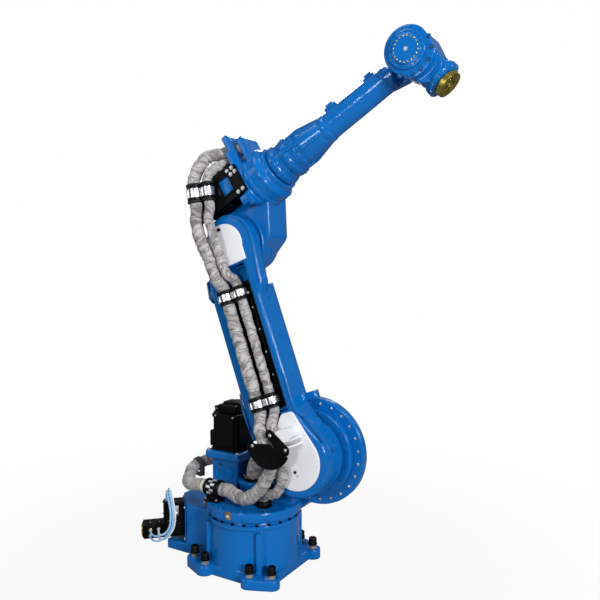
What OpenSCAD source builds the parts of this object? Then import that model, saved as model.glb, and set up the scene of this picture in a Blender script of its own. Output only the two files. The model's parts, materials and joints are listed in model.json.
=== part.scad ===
// Six-axis articulated robot arm with its hose package, all sizes in millimetres.
// The turning axis of the base is the z axis, the floor is z = 0, the arm reaches along +x.
// Each link is drawn in its own frame and set into the pose of the photograph.

/* [Main axes] */
// Height of the shoulder axis above the turret plate
shoulder_rise = 284; // [260:1:340]
// Shoulder axis in front of the turning axis
shoulder_x = 335; // [315:1:360]
// Shoulder axis to elbow axis
lower_len = 1150; // [1100:1:1250]
// Elbow axis to the roll axis of the forearm
roll_offset = 215; // [205:1:230]
// Elbow axis to wrist axis along the forearm
fore_len = 1255; // [1200:1:1400]
// Wrist axis to the face of the tool flange
tool_len = 218; // [210:1:240]
// Lower arm leaning back from upright, in degrees
lean_deg = 20; // [10:0.5:25]
// Forearm rising above level, in degrees
lift_deg = 31.25; // [20:0.25:40]
// Tool pointing below level, in degrees
drop_deg = 43.75; // [30:0.25:60]

/* [Fits] */
// Clearance between parts that turn against each other
run_gap = 6; // [5:0.5:10]
// Clearance of bearing spigots and seated faces
fit_gap = 0.3; // [0.1:0.05:0.5]

/* [Base] */
// Height of the base up to the turning gap
base_h = 300; // [280:1:330]
// Radius of the drum at its top
base_top_r = 238; // [230:1:250]
// Radius of the drum where it meets the feet
base_foot_r = 250; // [242:1:256]
// Thickness of the feet
foot_t = 48; // [35:1:60]
// Radius of the pad round each anchor bolt
foot_pad_r = 42; // [40:1:55]
// Anchor bolts of the corner row, along x
bolt_corner_x = 246; // [235:1:260]
// Anchor bolts of the corner row, along y
bolt_corner_y = 206; // [195:1:220]
// Anchor bolts of the side row, along x
bolt_side_x = 142; // [130:1:160]
// Anchor bolts of the side row, along y
bolt_side_y = 250; // [240:1:265]
// Diameter of the anchor bolts
bolt_d = 24; // [16:1:27]
// Half width of the rear cable box
box_half_w = 150; // [130:1:170]
// Rear end of the cable box behind the turning axis
box_rear = 490; // [440:1:520]

/* [Turret] */
// Radius of the turret plate
plate_r = 258; // [252:1:275]
// Thickness of the turret plate
plate_t = 50; // [40:1:70]
// Radius of the turning bearing between base and turret
turn_bearing_r = 205; // [180:1:220]
// Near face of the shoulder flange, along y
flange_y = 74; // [70:1:85]
// Radius of the shoulder flange
flange_r = 280; // [265:1:300]
// Thickness of the shoulder flange
flange_t = 40; // [30:1:60]
// Radius of the shoulder reducer hub
shoulder_hub_r = 160; // [140:1:170]
// Side of the square turning motor
turn_motor_w = 166; // [150:1:176]
// Height of the turning motor's body
turn_motor_h = 205; // [180:1:215]

/* [Lower arm] */
// Near face of the lower arm, along y, as a distance from the arm plane
arm_near = 136; // [130:1:145]
// Wall of the drum at the shoulder, outside the reducer hub
drum_wall = 28; // [20:1:40]
// Radius of the head at the elbow
head_r = 148; // [140:1:155]
// Front face of the lower arm in front of its centre line
arm_front = 92; // [85:1:100]
// Rear edge of the hose plate behind the centre line
arm_rear = 240; // [225:1:255]
// Thickness of the hose plate and of its rim
wall_t = 16; // [12:1:20]
// Depth of the hose channel
channel_depth = 50; // [44:1:50]
// Thickness of the head, along y
head_t = 66; // [60:1:68]
// Radius of the lower cover
lower_cover_r = 150; // [140:1:160]
// Radius of the upper cover
upper_cover_r = 110; // [100:1:115]
// Thickness of the covers
cover_t = 10; // [6:1:12]

/* [Elbow] */
// Radius of the elbow drum
elbow_drum_r = 165; // [150:1:175]
// Far face of the elbow drum, along y
elbow_far = 120; // [110:1:140]
// Radius of the roll housing
roll_housing_r = 144; // [138:1:152]
// Front face of the roll housing along the forearm
roll_face_u = 392; // [380:1:400]
// Radius of the elbow reducer hub
elbow_hub_r = 110; // [90:1:120]

/* [Forearm] */
// Radius of the tube at its thick end
tube_r = 66; // [62:1:70]
// Radius of the tube at its thin end
tube_tip_r = 60; // [54:1:62]
// Radius of the bolted flange at the root
root_flange_r = 107; // [104:1:118]

/* [Wrist] */
// Radius of the wrist drum
wrist_drum_r = 108; // [100:1:112]
// Near face of the wrist drum, along y
wrist_near = 118; // [105:1:125]
// Radius of the tool housing
nose_r = 78; // [70:1:80]
// Radius of the ring at the end of the tool housing
nose_ring_r = 86; // [82:1:94]
// Rim of the tool flange outside its bolt holes
tool_rim = 8.5; // [7:0.5:14]
// Bolt circle of the tool flange
tool_pcd = 100; // [90:1:104]
// Diameter of the pilot bore of the tool flange
pilot_d = 63; // [50:1:70]
// Diameter of the six tool bolts' holes
tool_hole_d = 8; // [6:0.5:10]

/* [Hoses] */
// Radius of the large hose bundle
hose_r = 34; // [26:1:35]
// Radius of the small hose bundle
small_hose_r = 25; // [18:1:26]
// Gap between the hoses and the faces that they pass
hose_air = 9; // [6:1:12]

/* [Hidden] */
$fn = 96;

// Overrun of every cut
cut = 1;
// Colours as the photograph shows them
blue_paint = [0.10, 0.40, 0.74];
white_cover = [0.88, 0.88, 0.89];
black_metal = [0.09, 0.09, 0.10];
grey_cloth = [0.62, 0.60, 0.60];
bright_steel = [0.72, 0.73, 0.75];
brass_plate = [0.80, 0.66, 0.25];
tube_blue = [0.45, 0.72, 0.92];
tube_white = [0.92, 0.92, 0.92];

// Places of the axes in the shared frame
turret_z = base_h + run_gap;
plate_z = turret_z + plate_t;
shoulder_z = plate_z + shoulder_rise;
elbow_x = shoulder_x - lower_len * sin(lean_deg);
elbow_z = shoulder_z + lower_len * cos(lean_deg);
wrist_x = elbow_x + fore_len * cos(lift_deg) - roll_offset * sin(lift_deg);
wrist_z = elbow_z + fore_len * sin(lift_deg) + roll_offset * cos(lift_deg);

// Frames of the links: x forward and z along the arm, or x along the forearm or the tool
module lower_frame() {
    translate([shoulder_x, 0, shoulder_z]) rotate([0, -lean_deg, 0]) children();
}
module fore_frame() {
    translate([elbow_x, 0, elbow_z]) rotate([0, -lift_deg, 0]) children();
}
module wrist_frame() {
    translate([wrist_x, 0, wrist_z]) rotate([0, drop_deg, 0]) children();
}

// The same frames for single points of a hose route
function lower_point(p) = [
    shoulder_x + p[0] * cos(lean_deg) - p[2] * sin(lean_deg),
    p[1],
    shoulder_z + p[0] * sin(lean_deg) + p[2] * cos(lean_deg)
];
function fore_point(p) = [
    elbow_x + p[0] * cos(lift_deg) - p[2] * sin(lift_deg),
    p[1],
    elbow_z + p[0] * sin(lift_deg) + p[2] * cos(lift_deg)
];

// A flat outline in the x-z plane made solid between two y values
module slab(y0, y1) {
    translate([0, y1, 0]) rotate([90, 0, 0]) linear_extrude(height = y1 - y0) children();
}
// A round disc about a y axis
module disc(x, z, r, y0, y1) {
    translate([x, y1, z]) rotate([90, 0, 0]) cylinder(h = y1 - y0, r = r);
}
// A block between two corners
module block(a, b) {
    translate(a) cube(b - a);
}
// A round bar along x
module bar_x(x0, x1, y, z, r) {
    translate([x0, y, z]) rotate([0, 90, 0]) cylinder(h = x1 - x0, r = r);
}
// Two circles and the strip between their outer tangents, a hair inside so that no face only grazes another
strip_tuck = 0.2;
module link2d(a, ra, b, rb) {
    run = norm(b - a);
    turn = atan2(b[1] - a[1], b[0] - a[0]);
    open = acos((ra - rb) / run);
    up = [cos(turn + open), sin(turn + open)];
    down = [cos(turn - open), sin(turn - open)];
    translate(a) circle(r = ra);
    translate(b) circle(r = rb);
    wide = ra - strip_tuck;
    slim = rb - strip_tuck;
    polygon([a + wide * up, a + wide * down, b + slim * down, b + slim * up]);
}

// Smooth curve through the points of a route, and a tube swept along it
function smooth_at(a, b, c, d, t) =
    0.5 * (2 * b + (c - a) * t + (2 * a - 5 * b + 4 * c - d) * t * t
    + (3 * b - a - 3 * c + d) * t * t * t);
function smooth_route(p, steps) = [
    for (i = [0 : len(p) - 2], k = [0 : steps - 1])
        smooth_at(p[max(i - 1, 0)], p[i], p[i + 1], p[min(i + 2, len(p) - 1)], k / steps),
    p[len(p) - 1]
];
function unit(v) = v / norm(v);
function route_way(q, p, i) =
    i == 0 ? unit(p[1] - p[0]) :
    i == len(q) - 1 ? unit(p[len(p) - 1] - p[len(p) - 2]) : unit(q[i + 1] - q[i - 1]);
function ring_at(q, p, i, r, sides, side) =
    let (way = route_way(q, p, i), u = unit(cross(way, side)), w = cross(way, u))
    [for (k = [0 : sides - 1]) q[i] + r * (u * cos(360 * k / sides) + w * sin(360 * k / sides))];
module hose(points, r, side, sides = 10, steps = 2) {
    q = smooth_route(points, steps);
    rings = len(q);
    polyhedron(
        points = [for (i = [0 : rings - 1]) each ring_at(q, points, i, r, sides, side)],
        faces = concat(
            [[for (k = [0 : sides - 1]) k]],
            [for (i = [0 : rings - 2], k = [0 : sides - 1])
                let (n = (k + 1) % sides)
                [(i + 1) * sides + k, (i + 1) * sides + n, i * sides + n, i * sides + k]],
            [[for (k = [sides - 1 : -1 : 0]) (rings - 1) * sides + k]]
        )
    );
}

// Values of the base
rib_w = 34;
rib_out = 16;
rib_drop = 45;
rib_top = base_h - rib_drop;
rib_deg = 50;
box_floor = 20;
box_ledge = 70;
box_drop = 10;
box_top = base_h - box_drop;
box_corner = 140;
bolt_play = 1;
collar_r = 24;
collar_h = 24;
bolt_head_r = 20;
bolt_head_h = 36;
bolt_tip = 4;
socket_r = 11;
socket_depth = 16;
anchor_points = [
    for (sx = [-1, 1], sy = [-1, 1]) each [
        [sx * bolt_corner_x, sy * bolt_corner_y], [sx * bolt_side_x, sy * bolt_side_y]
    ]
];
// An eight-sided plate through the bolts, with a round pad at each foot
module foot_outline() {
    polygon([
        for (q = [[1, 1], [-1, 1], [-1, -1], [1, -1]])
            let (corner = [q[0] * bolt_corner_x, q[1] * bolt_corner_y],
                mid = [q[0] * bolt_side_x, q[1] * bolt_side_y])
            each (q[0] * q[1] > 0 ? [corner, mid] : [mid, corner])
    ]);
    for (sx = [-1, 1], sy = [-1, 1])
        link2d([sx * bolt_corner_x, sy * bolt_corner_y], foot_pad_r,
            [sx * bolt_side_x, sy * bolt_side_y], foot_pad_r + foot_swell);
}
foot_swell = 2;
bearing_rise = 2 * run_gap;

module base_casting() {
    color(blue_paint) difference() {
        union() {
            linear_extrude(height = foot_t) foot_outline();
            translate([0, 0, foot_t]) cylinder(h = base_h - foot_t, r1 = base_foot_r, r2 = base_top_r);
            cylinder(h = base_h + bearing_rise - fit_gap, r = turn_bearing_r);
            for (sx = [0, 180], a = [-rib_deg, rib_deg]) rotate([0, 0, sx + a])
                block([0, -rib_w / 2, 0], [base_foot_r + rib_out, rib_w / 2, rib_top]);
            block([-box_rear, -box_half_w, box_floor], [0, box_half_w, box_ledge]);
            translate([0, 0, box_floor]) linear_extrude(height = box_top - box_floor) polygon([
                [0, box_half_w], [-box_rear, box_half_w], [-box_rear, box_corner - box_half_w],
                [box_corner - box_rear, -box_half_w], [0, -box_half_w]
            ]);
        }
        for (p = anchor_points) translate([p[0], p[1], -cut])
            cylinder(h = foot_t + 2 * cut, r = bolt_d / 2 + bolt_play);
        for (p = anchor_points) translate([p[0], p[1], foot_t])
            cylinder(h = base_h, r = collar_r + bolt_play);
    }
}

module bolt_collars() {
    color(bright_steel) for (p = anchor_points) translate([p[0], p[1], foot_t]) difference() {
        cylinder(h = collar_h, r = collar_r);
        translate([0, 0, -cut]) cylinder(h = collar_h + 2 * cut, r = bolt_d / 2 + bolt_play);
    }
}

module anchor_bolts() {
    color(black_metal) for (p = anchor_points) translate([p[0], p[1], 0]) difference() {
        union() {
            translate([0, 0, bolt_tip]) cylinder(h = foot_t + collar_h, r = bolt_d / 2);
            translate([0, 0, foot_t + collar_h]) cylinder(h = bolt_head_h, r = bolt_head_r);
        }
        translate([0, 0, foot_t + collar_h + bolt_head_h - socket_depth])
            cylinder(h = socket_depth + cut, r = socket_r, $fn = 6);
    }
}

// Values of the connector panel, drawn in a frame on the cut corner of the cable box:
// x along the panel, y out of it, z up
panel_t = 8;
panel_w = 180;
panel_h = 200;
panel_z = 80;
hood_w = 80;
hood_out = 110;
hood_h = 100;
hood_gap = 14;
manifold_x0 = -42;
manifold_x1 = 50;
manifold_out = 225;
manifold_z = 96;
manifold_h = 78;
hood_z = manifold_z + manifold_h + hood_gap;
fitting_r = 8;
fitting_l = 18;
fitting_low = 116;
fitting_rise = 32;
fitting_out = 150;
fitting_step = 44;
panel_x = box_corner / 2 - box_rear;
panel_y = box_corner / 2 - box_half_w;
module panel_frame() {
    translate([panel_x, panel_y, 0]) rotate([0, 0, 135]) children();
}
function fitting_place(k) = [fitting_out + fitting_step * (k % 2), fitting_low + fitting_rise * floor(k / 2)];

module connector_panel() {
    color(blue_paint) panel_frame()
        block([-panel_w / 2, 0, panel_z], [panel_w / 2, panel_t, panel_z + panel_h]);
}

module connector_hoods() {
    color(black_metal) panel_frame() {
        block([-hood_w / 2, panel_t, hood_z], [hood_w / 2, panel_t + hood_out, hood_z + hood_h]);
        block([manifold_x0, panel_t, manifold_z], [manifold_x1, panel_t + manifold_out, manifold_z + manifold_h]);
    }
}

module air_fittings() {
    color(bright_steel) panel_frame() for (k = [0 : 3])
        bar_x(manifold_x0 - fitting_l, manifold_x0, fitting_place(k)[0], fitting_place(k)[1], fitting_r);
}

// Values of the turret
hub_gap = bearing_rise;
boss_x = -6;
boss_y = 16;
boss_r = 84;
boss_h = 94;
boss_top = plate_z + boss_h;
wall_near = 100;
wall_rear = -40;
wall_over = 150;
wall_top = boss_top + wall_over;
wall_front = 240;
gearcase_r = 215;
gearcase_far = 225;
wall_far = gearcase_far;
shoulder_hub_y = 12;
case_r = 226;
case_near = 40;
tie_x = 100;
tie_air = 4;
tie_top = shoulder_z - case_r - tie_air;
housing_air = 6;
housing_y = 50;
housing_w = 160;
housing_x = boss_x - boss_r - housing_air - housing_w / 2;
housing_h = 189;
housing_top = plate_z + housing_h;
housing_lip = 32;
housing_flange_w = housing_w + 2 * housing_lip;
housing_flange_t = 42;
motor_cap_w = 130;
motor_cap_h = 60;
motor_box_w = 70;
motor_box_h = 80;
motor_box_out = 32;
shoulder_motor_w = 190;
shoulder_motor_l = 150;
shoulder_motor_x = -60;
shoulder_cap_l = 60;
bolt_ring_in = 41;

module turret_casting() {
    color(blue_paint) difference() {
        union() {
            translate([0, 0, turret_z]) cylinder(h = plate_t, r = plate_r);
            translate([boss_x, boss_y, plate_z - cut]) cylinder(h = boss_top - plate_z + cut, r = boss_r);
            disc(shoulder_x, shoulder_z, flange_r, flange_y, flange_y + flange_t);
            disc(shoulder_x, shoulder_z, gearcase_r, flange_y, gearcase_far);
            slab(wall_near, wall_far) polygon([
                [wall_rear, turret_z], [wall_rear, wall_top], [0, wall_top], [shoulder_x, shoulder_z],
                [shoulder_x, shoulder_z - flange_r + foot_t], [wall_front, turret_z]
            ]);
            block([tie_x, 0, plate_z - cut], [wall_front, wall_near + cut, tie_top]);
        }
        translate([0, 0, turret_z - cut])
            cylinder(h = hub_gap - run_gap + cut, r = turn_bearing_r + fit_gap);
    }
}

module shoulder_reducer() {
    color(blue_paint) {
        disc(shoulder_x, shoulder_z, case_r, case_near, flange_y);
        disc(shoulder_x, shoulder_z, shoulder_hub_r, shoulder_hub_y, flange_y);
    }
}

module turn_gear_housing() {
    color(blue_paint) translate([housing_x, housing_y, 0]) {
        block([-housing_w / 2, -housing_w / 2, plate_z], [housing_w / 2, housing_w / 2, housing_top]);
        block([-housing_flange_w / 2, -housing_flange_w / 2, housing_top],
            [housing_flange_w / 2, housing_flange_w / 2, housing_top + housing_flange_t]);
    }
}

module turn_motor() {
    base_z = housing_top + housing_flange_t;
    cap_z = base_z + turn_motor_h;
    color(black_metal) translate([housing_x, housing_y, 0]) {
        block([-turn_motor_w / 2, -turn_motor_w / 2, base_z], [turn_motor_w / 2, turn_motor_w / 2, cap_z]);
        block([-motor_cap_w / 2, -motor_cap_w / 2, cap_z], [motor_cap_w / 2, motor_cap_w / 2, cap_z + motor_cap_h]);
        block([-turn_motor_w / 2 - motor_box_out, -motor_box_w / 2, cap_z - motor_box_h],
            [-turn_motor_w / 2, motor_box_w / 2, cap_z]);
    }
}

module shoulder_motor() {
    color(black_metal) translate([shoulder_x + shoulder_motor_x, gearcase_far, shoulder_z]) {
        block([-shoulder_motor_w / 2, 0, -shoulder_motor_w / 2],
            [shoulder_motor_w / 2, shoulder_motor_l, shoulder_motor_w / 2]);
        disc(0, 0, motor_cap_w / 2, shoulder_motor_l, shoulder_motor_l + shoulder_cap_l);
    }
}

// Values of the hose run on the turret
clamp_x = -150;
clamp_y = -156;
clamp_air = 35;
clamp_z = plate_z + clamp_air + hose_r;
clamp_l = 96;
clamp_wall = 12;
gland_x = 120;
gland_y = -90;
gland_r = 40;
gland_h = 30;
riser_r = 46;
riser_ring_r = 68;
riser_ring_t = 14;
loop_side_air = 20;
loop_top_air = 6;
loop_end_y = housing_y + housing_w / 2 + hose_r + loop_side_air;
loop_end_z = housing_top - hose_r - loop_top_air;
clip_w = 32;
clip_h = 34;
clip_t = 8;
clip_degs = [-141, -86];

module turret_hose_clamp() {
    half = hose_r + clamp_wall;
    color(black_metal) difference() {
        union() {
            bar_x(clamp_x - clamp_l / 2, clamp_x + clamp_l / 2, clamp_y, clamp_z, half);
            block([clamp_x - clamp_l / 2 + clamp_wall, clamp_y - half + clamp_wall, plate_z],
                [clamp_x + clamp_l / 2 - clamp_wall, clamp_y + half - clamp_wall, clamp_z]);
        }
        bar_x(clamp_x - clamp_l, clamp_x + clamp_l, clamp_y, clamp_z, hose_r + fit_gap);
    }
}

// The loop behind the turret, from the wall round the gear housing to the clamp
loop_rear = 425;
turret_route = [
    [wall_rear - fit_gap, loop_end_y, loop_end_z],
    [wall_rear - 3 * hose_r, loop_end_y, loop_end_z],
    [housing_x - housing_w / 2, loop_end_y - hose_r / 5, loop_end_z],
    [hose_r - loop_rear, (loop_end_y + housing_y) / 2 - hose_r, (2 * loop_end_z + clamp_z) / 3],
    [-loop_rear, -hose_r / 4, (loop_end_z + 3 * clamp_z) / 4],
    [hose_r - loop_rear, clamp_y / 2, clamp_z - hose_r / 3],
    [3 * hose_r - loop_rear, clamp_y + hose_r / 8, clamp_z - hose_r / 4],
    [clamp_x - clamp_l, clamp_y, clamp_z],
    [clamp_x - clamp_l / 2, clamp_y, clamp_z],
    [clamp_x + clamp_l / 2, clamp_y, clamp_z]
];
module turret_hose() {
    color(grey_cloth) hose(turret_route, hose_r, [0, 0, 1]);
}

module riser_sleeve() {
    reach = wall_near - boss_y;
    color(grey_cloth) hose([
        [boss_x, boss_y, boss_top + fit_gap],
        [boss_x, boss_y, boss_top + riser_ring_t],
        [boss_x, boss_y, boss_top + 2 * riser_ring_t],
        [boss_x, boss_y + reach / 8, boss_top + reach * 3 / 4],
        [boss_x, boss_y + reach * 2 / 5, boss_top + reach],
        [boss_x, boss_y + reach * 4 / 5, boss_top + reach * 9 / 8],
        [boss_x, wall_near - fit_gap, boss_top + reach * 9 / 8]
    ], riser_r, [1, 0, 0]);
}

module riser_ring() {
    color(black_metal) translate([boss_x, boss_y, boss_top]) difference() {
        cylinder(h = riser_ring_t, r = riser_ring_r);
        translate([0, 0, -cut]) cylinder(h = riser_ring_t + 2 * cut, r = riser_r + fit_gap);
    }
}

module hose_gland() {
    color(black_metal) translate([gland_x, gland_y, plate_z]) difference() {
        cylinder(h = gland_h, r = gland_r);
        translate([0, 0, gland_h / 2]) cylinder(h = gland_h, r = small_hose_r + fit_gap);
    }
}

module rim_clips() {
    color(brass_plate) for (a = clip_degs) rotate([0, 0, a])
        block([plate_r + fit_gap, -clip_w / 2, plate_z - clip_h],
            [plate_r + clip_t, clip_w / 2, plate_z]);
}

// Values of the lower arm, in its own frame
box_back = 35;
box_z0 = 60;
box_top_drop = 247;
box_z1 = lower_len - box_top_drop;
shoulder_drum_r = shoulder_hub_r + drum_wall;
arm_far = 14;
drum_far = case_near - run_gap;
arm_fillet_r = 345;
stop_w = 40;
stop_out = 73;
stop_z = 262;
stop_h = 40;
head_low_drop = 230;
head_out = 30;
head_low_z = lower_len - head_low_drop;
head_low_r = 100;
rear_z0 = 140;
rear_low_z = 300;
rear_high_drop = 220;
rear_high_z = lower_len - rear_high_drop;
rear_top_drop = 130;
rear_z1 = lower_len - rear_top_drop;
rim_rise = 12;
channel_front = 52;
channel_z0 = 246;
channel_top_drop = 118;
channel_z1 = lower_len - channel_top_drop;
channel_side_z = 180;
side_gap = 1;
channel_floor = channel_depth - arm_near;
cover_top = 238;
cover_top_x0 = -3;
cover_top_x1 = 86;
cover_round = 24;
upper_cover_x = -25;
upper_cover_drop = 110;
upper_cover_half = 103;
elbow_hub_in = 30;
head_far = head_t - arm_near;

// Front of the lower arm: an arc that runs from the drum into the straight front face
arm_fillet_x = arm_front + arm_fillet_r;
arm_fillet_z = sqrt(pow(shoulder_drum_r + arm_fillet_r, 2) - pow(arm_fillet_x, 2));
module front_blend() {
    touch_share = shoulder_drum_r / (shoulder_drum_r + arm_fillet_r);
    difference() {
        polygon([
            [-box_back, 0], [-box_back, arm_fillet_z], [arm_front, arm_fillet_z],
            touch_share * [arm_fillet_x, arm_fillet_z]
        ]);
        translate([arm_fillet_x, arm_fillet_z]) circle(r = arm_fillet_r);
    }
}
// The plate behind the front beam that carries the hoses
module hose_plate_outline() {
    link2d([0, 0], shoulder_drum_r - wall_t, [wall_t - arm_rear + wall_t, rear_low_z], 2 * wall_t);
    polygon([
        [0, rear_z0], [-arm_rear, rear_z0], [-arm_rear - wall_t, rear_low_z], [-arm_rear, rear_low_z + 6 * wall_t],
        [-arm_rear, rear_high_z - 2 * wall_t], [-arm_rear - wall_t, rear_high_z], [-arm_rear, rear_z1], [0, lower_len]
    ]);
}
module lower_arm_casting() {
    web_near = channel_depth - arm_near;
    color(blue_paint) lower_frame() difference() {
        union() {
            disc(0, 0, shoulder_drum_r, -arm_near, drum_far);
            slab(-arm_near, arm_far) front_blend();
            block([-box_back, -arm_near, box_z0], [arm_front, arm_far, box_z1]);
            block([arm_front, arm_far - stop_w, stop_z], [arm_front + stop_out, arm_far, stop_z + stop_h]);
            slab(-arm_near, head_far)
                link2d([0, lower_len], head_r, [arm_front + head_out - head_low_r, head_low_z], head_low_r);
            slab(web_near, head_far) hose_plate_outline();
            slab(web_near - rim_rise, head_far) difference() {
                hose_plate_outline();
                translate([wall_t, 0]) hose_plate_outline();
            }
        }
        block([-arm_rear, -arm_near - cut, channel_z0], [channel_front, channel_floor, channel_z1]);
        block([-arm_rear, -arm_near - cut, channel_side_z], [channel_side_x, channel_floor, channel_z0 + cut]);
        disc(0, 0, shoulder_hub_r + fit_gap, shoulder_hub_y - fit_gap, drum_far + cut);
        disc(0, lower_len, elbow_hub_r + fit_gap, head_far - elbow_hub_in - fit_gap, head_far + cut);
    }
}

module lower_cover() {
    color(white_cover) lower_frame() slab(-arm_near - cover_t, -arm_near) {
        for (x = [cover_top_x0 + cover_round, cover_top_x1 - cover_round])
            link2d([0, 0], lower_cover_r, [x, cover_top - cover_round], cover_round);
        translate([cover_top_x0 + cover_round, 0])
            square([cover_top_x1 - cover_top_x0 - 2 * cover_round, cover_top]);
    }
}

module upper_cover() {
    color(white_cover) lower_frame() slab(-arm_near - cover_t, -arm_near)
        translate([upper_cover_x, lower_len]) {
            circle(r = upper_cover_r);
            translate([-upper_cover_half, -upper_cover_drop])
                square([2 * upper_cover_half, upper_cover_drop]);
        }
}

// Values of the hose run on the lower arm: x places of the two hoses in the channel and outside
plate_gap = 25;
clamp_seat = 4;
chan_plate_t = 4;
small_in_x = -34;
small_out_x = -46;
in_gap = 27;
out_gap = 3;
hose_in_x = small_in_x - small_hose_r - in_gap - hose_r;
hose_out_x = small_out_x - small_hose_r - out_gap - hose_r;
channel_side_x = small_in_x + small_hose_r + clamp_wall + side_gap;
out_y = -arm_near - cover_t - hose_air - hose_r;
small_out_y = -arm_near - cover_t - hose_air - small_hose_r;
in_y = channel_floor - chan_plate_t - clamp_seat - hose_r;
small_in_y = channel_floor - chan_plate_t - clamp_seat - small_hose_r;
low_clamp_z = 318;
high_clamp_drop = 260;
high_clamp_z = lower_len - high_clamp_drop;
arm_clamp_l = 60;
guide_low_z = 50;
enter_z = 160;
leave_drop = 110;
leave_z = lower_len - leave_drop;
arm_end_drop = 75;
arm_end_z = lower_len - arm_end_drop;
guide_t = 6;
guide_y = out_y - hose_r - guide_t;
bracket_x0 = 0;
bracket_x1 = 84;
bracket_z0 = 76;
bracket_z1 = 166;
rib_t = 9;

module channel_plate() {
    color(black_metal) lower_frame() block(
        [hose_in_x, channel_floor - chan_plate_t, channel_z0 + plate_gap],
        [channel_front - fit_gap, channel_floor, high_clamp_z + arm_clamp_l / 2 + plate_gap]
    );
}

module arm_clamp(z) {
    color(black_metal) lower_frame() difference() {
        block([hose_in_x - hose_r - clamp_wall, in_y - hose_r - clamp_wall, z - arm_clamp_l / 2],
            [small_in_x + small_hose_r + clamp_wall, channel_floor - chan_plate_t, z + arm_clamp_l / 2]);
        translate([hose_in_x, in_y, z - arm_clamp_l]) cylinder(h = 2 * arm_clamp_l, r = hose_r + fit_gap);
        translate([small_in_x, small_in_y, z - arm_clamp_l])
            cylinder(h = 2 * arm_clamp_l, r = small_hose_r + fit_gap);
    }
}
module lower_hose_clamp() { arm_clamp(low_clamp_z); }
module upper_hose_clamp() { arm_clamp(high_clamp_z); }

// From the guide into the clamps and out again, as shares of the way between outside and channel
enter_shares = [0, 0.06, 0.3, 0.7, 0.94];
function arm_run(outside, inside) =
    let (low_end = low_clamp_z - arm_clamp_l / 2, high_end = high_clamp_z + arm_clamp_l / 2, n = len(enter_shares))
    concat(
        [[outside[0], outside[1], guide_low_z], [outside[0], outside[1], (guide_low_z + enter_z) / 2]],
        [for (k = [0 : n - 1]) let (way = outside + (inside - outside) * enter_shares[k])
            [way[0], way[1], enter_z + (low_end - enter_z) * k / n]],
        [for (z = [low_end, low_clamp_z, low_clamp_z + arm_clamp_l / 2]) [inside[0], inside[1], z]],
        [for (k = [1 : 3]) [inside[0], inside[1], low_clamp_z + (high_clamp_z - low_clamp_z) * k / 4]],
        [for (z = [high_clamp_z - arm_clamp_l / 2, high_clamp_z, high_end]) [inside[0], inside[1], z]],
        [for (k = [n - 1 : -1 : 0]) let (way = outside + (inside - outside) * enter_shares[k])
            [way[0], way[1], leave_z - (leave_z - high_end) * k / n]],
        [[outside[0], outside[1], arm_end_z]]
    );
large_run = arm_run([hose_out_x, out_y], [hose_in_x, in_y]);
small_run = arm_run([small_out_x, small_out_y], [small_in_x, small_in_y]);

module arm_hose_large() {
    color(grey_cloth) hose([for (p = large_run) lower_point(p)], hose_r, [0, 1, 0], steps = 1);
}
module arm_hose_small() {
    color(grey_cloth) hose([for (p = small_run) lower_point(p)], small_hose_r, [0, 1, 0], steps = 1);
}

// The guide: a sector plate with a horn outside the hoses, on a white bracket with two ribs
guide_r = 128;
guide_x = -58;
guide_z = 120;
guide_from_deg = 167;
guide_to_deg = 316;
horn_x = -32;
horn_z = 162;
horn_r = 30;
elbow_of_guide_x = 22;
elbow_of_guide_z = 68;
function polar(r, a) = [r * cos(a), r * sin(a)];
module hose_guide() {
    color(black_metal) lower_frame() slab(guide_y, guide_y + guide_t) {
        translate([guide_x, guide_z]) intersection() {
            circle(r = guide_r);
            polygon([[0, 0], for (k = [0 : 3]) polar(2 * guide_r, guide_from_deg + (guide_to_deg - guide_from_deg) * k / 3)]);
        }
        link2d([elbow_of_guide_x, elbow_of_guide_z], horn_r, [horn_x, horn_z], horn_r - guide_t);
    }
}

boss_len = 38;
boss_drop = 20;
stud_r = 28;
boss_x0 = small_out_x + small_hose_r + hose_air + stud_r;
module guide_bracket() {
    pitch = (bracket_z1 - bracket_z0) / 3;
    color(white_cover) lower_frame() {
        slab(guide_y + guide_t, -arm_near - cover_t)
            link2d([boss_x0, horn_z - boss_drop], stud_r, [boss_x0 + boss_len, horn_z - boss_drop], stud_r);
        for (k = [0, 1]) translate([0, 0, bracket_z0 + k * pitch])
            block([bracket_x0, guide_y + guide_t, 0], [bracket_x1, -arm_near - cover_t, rib_t]);
    }
}

// The hoses that bend at the shoulder, from the turret to the guide
knee_low = clamp_z - hose_r / 3;
knee_large_end = lower_point(large_run[0]);
knee_small_end = lower_point(small_run[0]);
module knee_hose_large() {
    e = knee_large_end;
    color(grey_cloth) hose([
        [clamp_x + clamp_l / 2 + fit_gap, clamp_y, clamp_z],
        [clamp_x + clamp_l, clamp_y, clamp_z],
        [0, (2 * clamp_y + e[1]) / 3, knee_low],
        [e[0] - 4.2 * hose_r, e[1], knee_low],
        [e[0] - 2 * hose_r, e[1], knee_low + 1.6 * hose_r],
        [e[0] - hose_r / 2, e[1], (knee_low + e[2]) / 2],
        lower_point(large_run[0] - [0, 0, 1.5 * hose_r]),
        lower_point(large_run[0] - [0, 0, fit_gap])
    ], hose_r, [0, 1, 0]);
}
module knee_hose_small() {
    e = knee_small_end;
    start = plate_z + gland_h / 2 + fit_gap;
    color(grey_cloth) hose([
        [gland_x, gland_y, start],
        [gland_x, gland_y, start + gland_h],
        [gland_x, gland_y, start + 1.5 * gland_h],
        [gland_x + small_hose_r, (2 * gland_y + e[1]) / 3, start + 2.5 * small_hose_r],
        [e[0] - small_hose_r, (gland_y + 5 * e[1]) / 6, (2 * start + e[2]) / 3],
        [e[0] + small_hose_r, e[1], (start + 2 * e[2]) / 3],
        lower_point(small_run[0] - [0, 0, 1.5 * small_hose_r]),
        lower_point(small_run[0] - [0, 0, fit_gap])
    ], small_hose_r, [1, 0, 0]);
}

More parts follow.
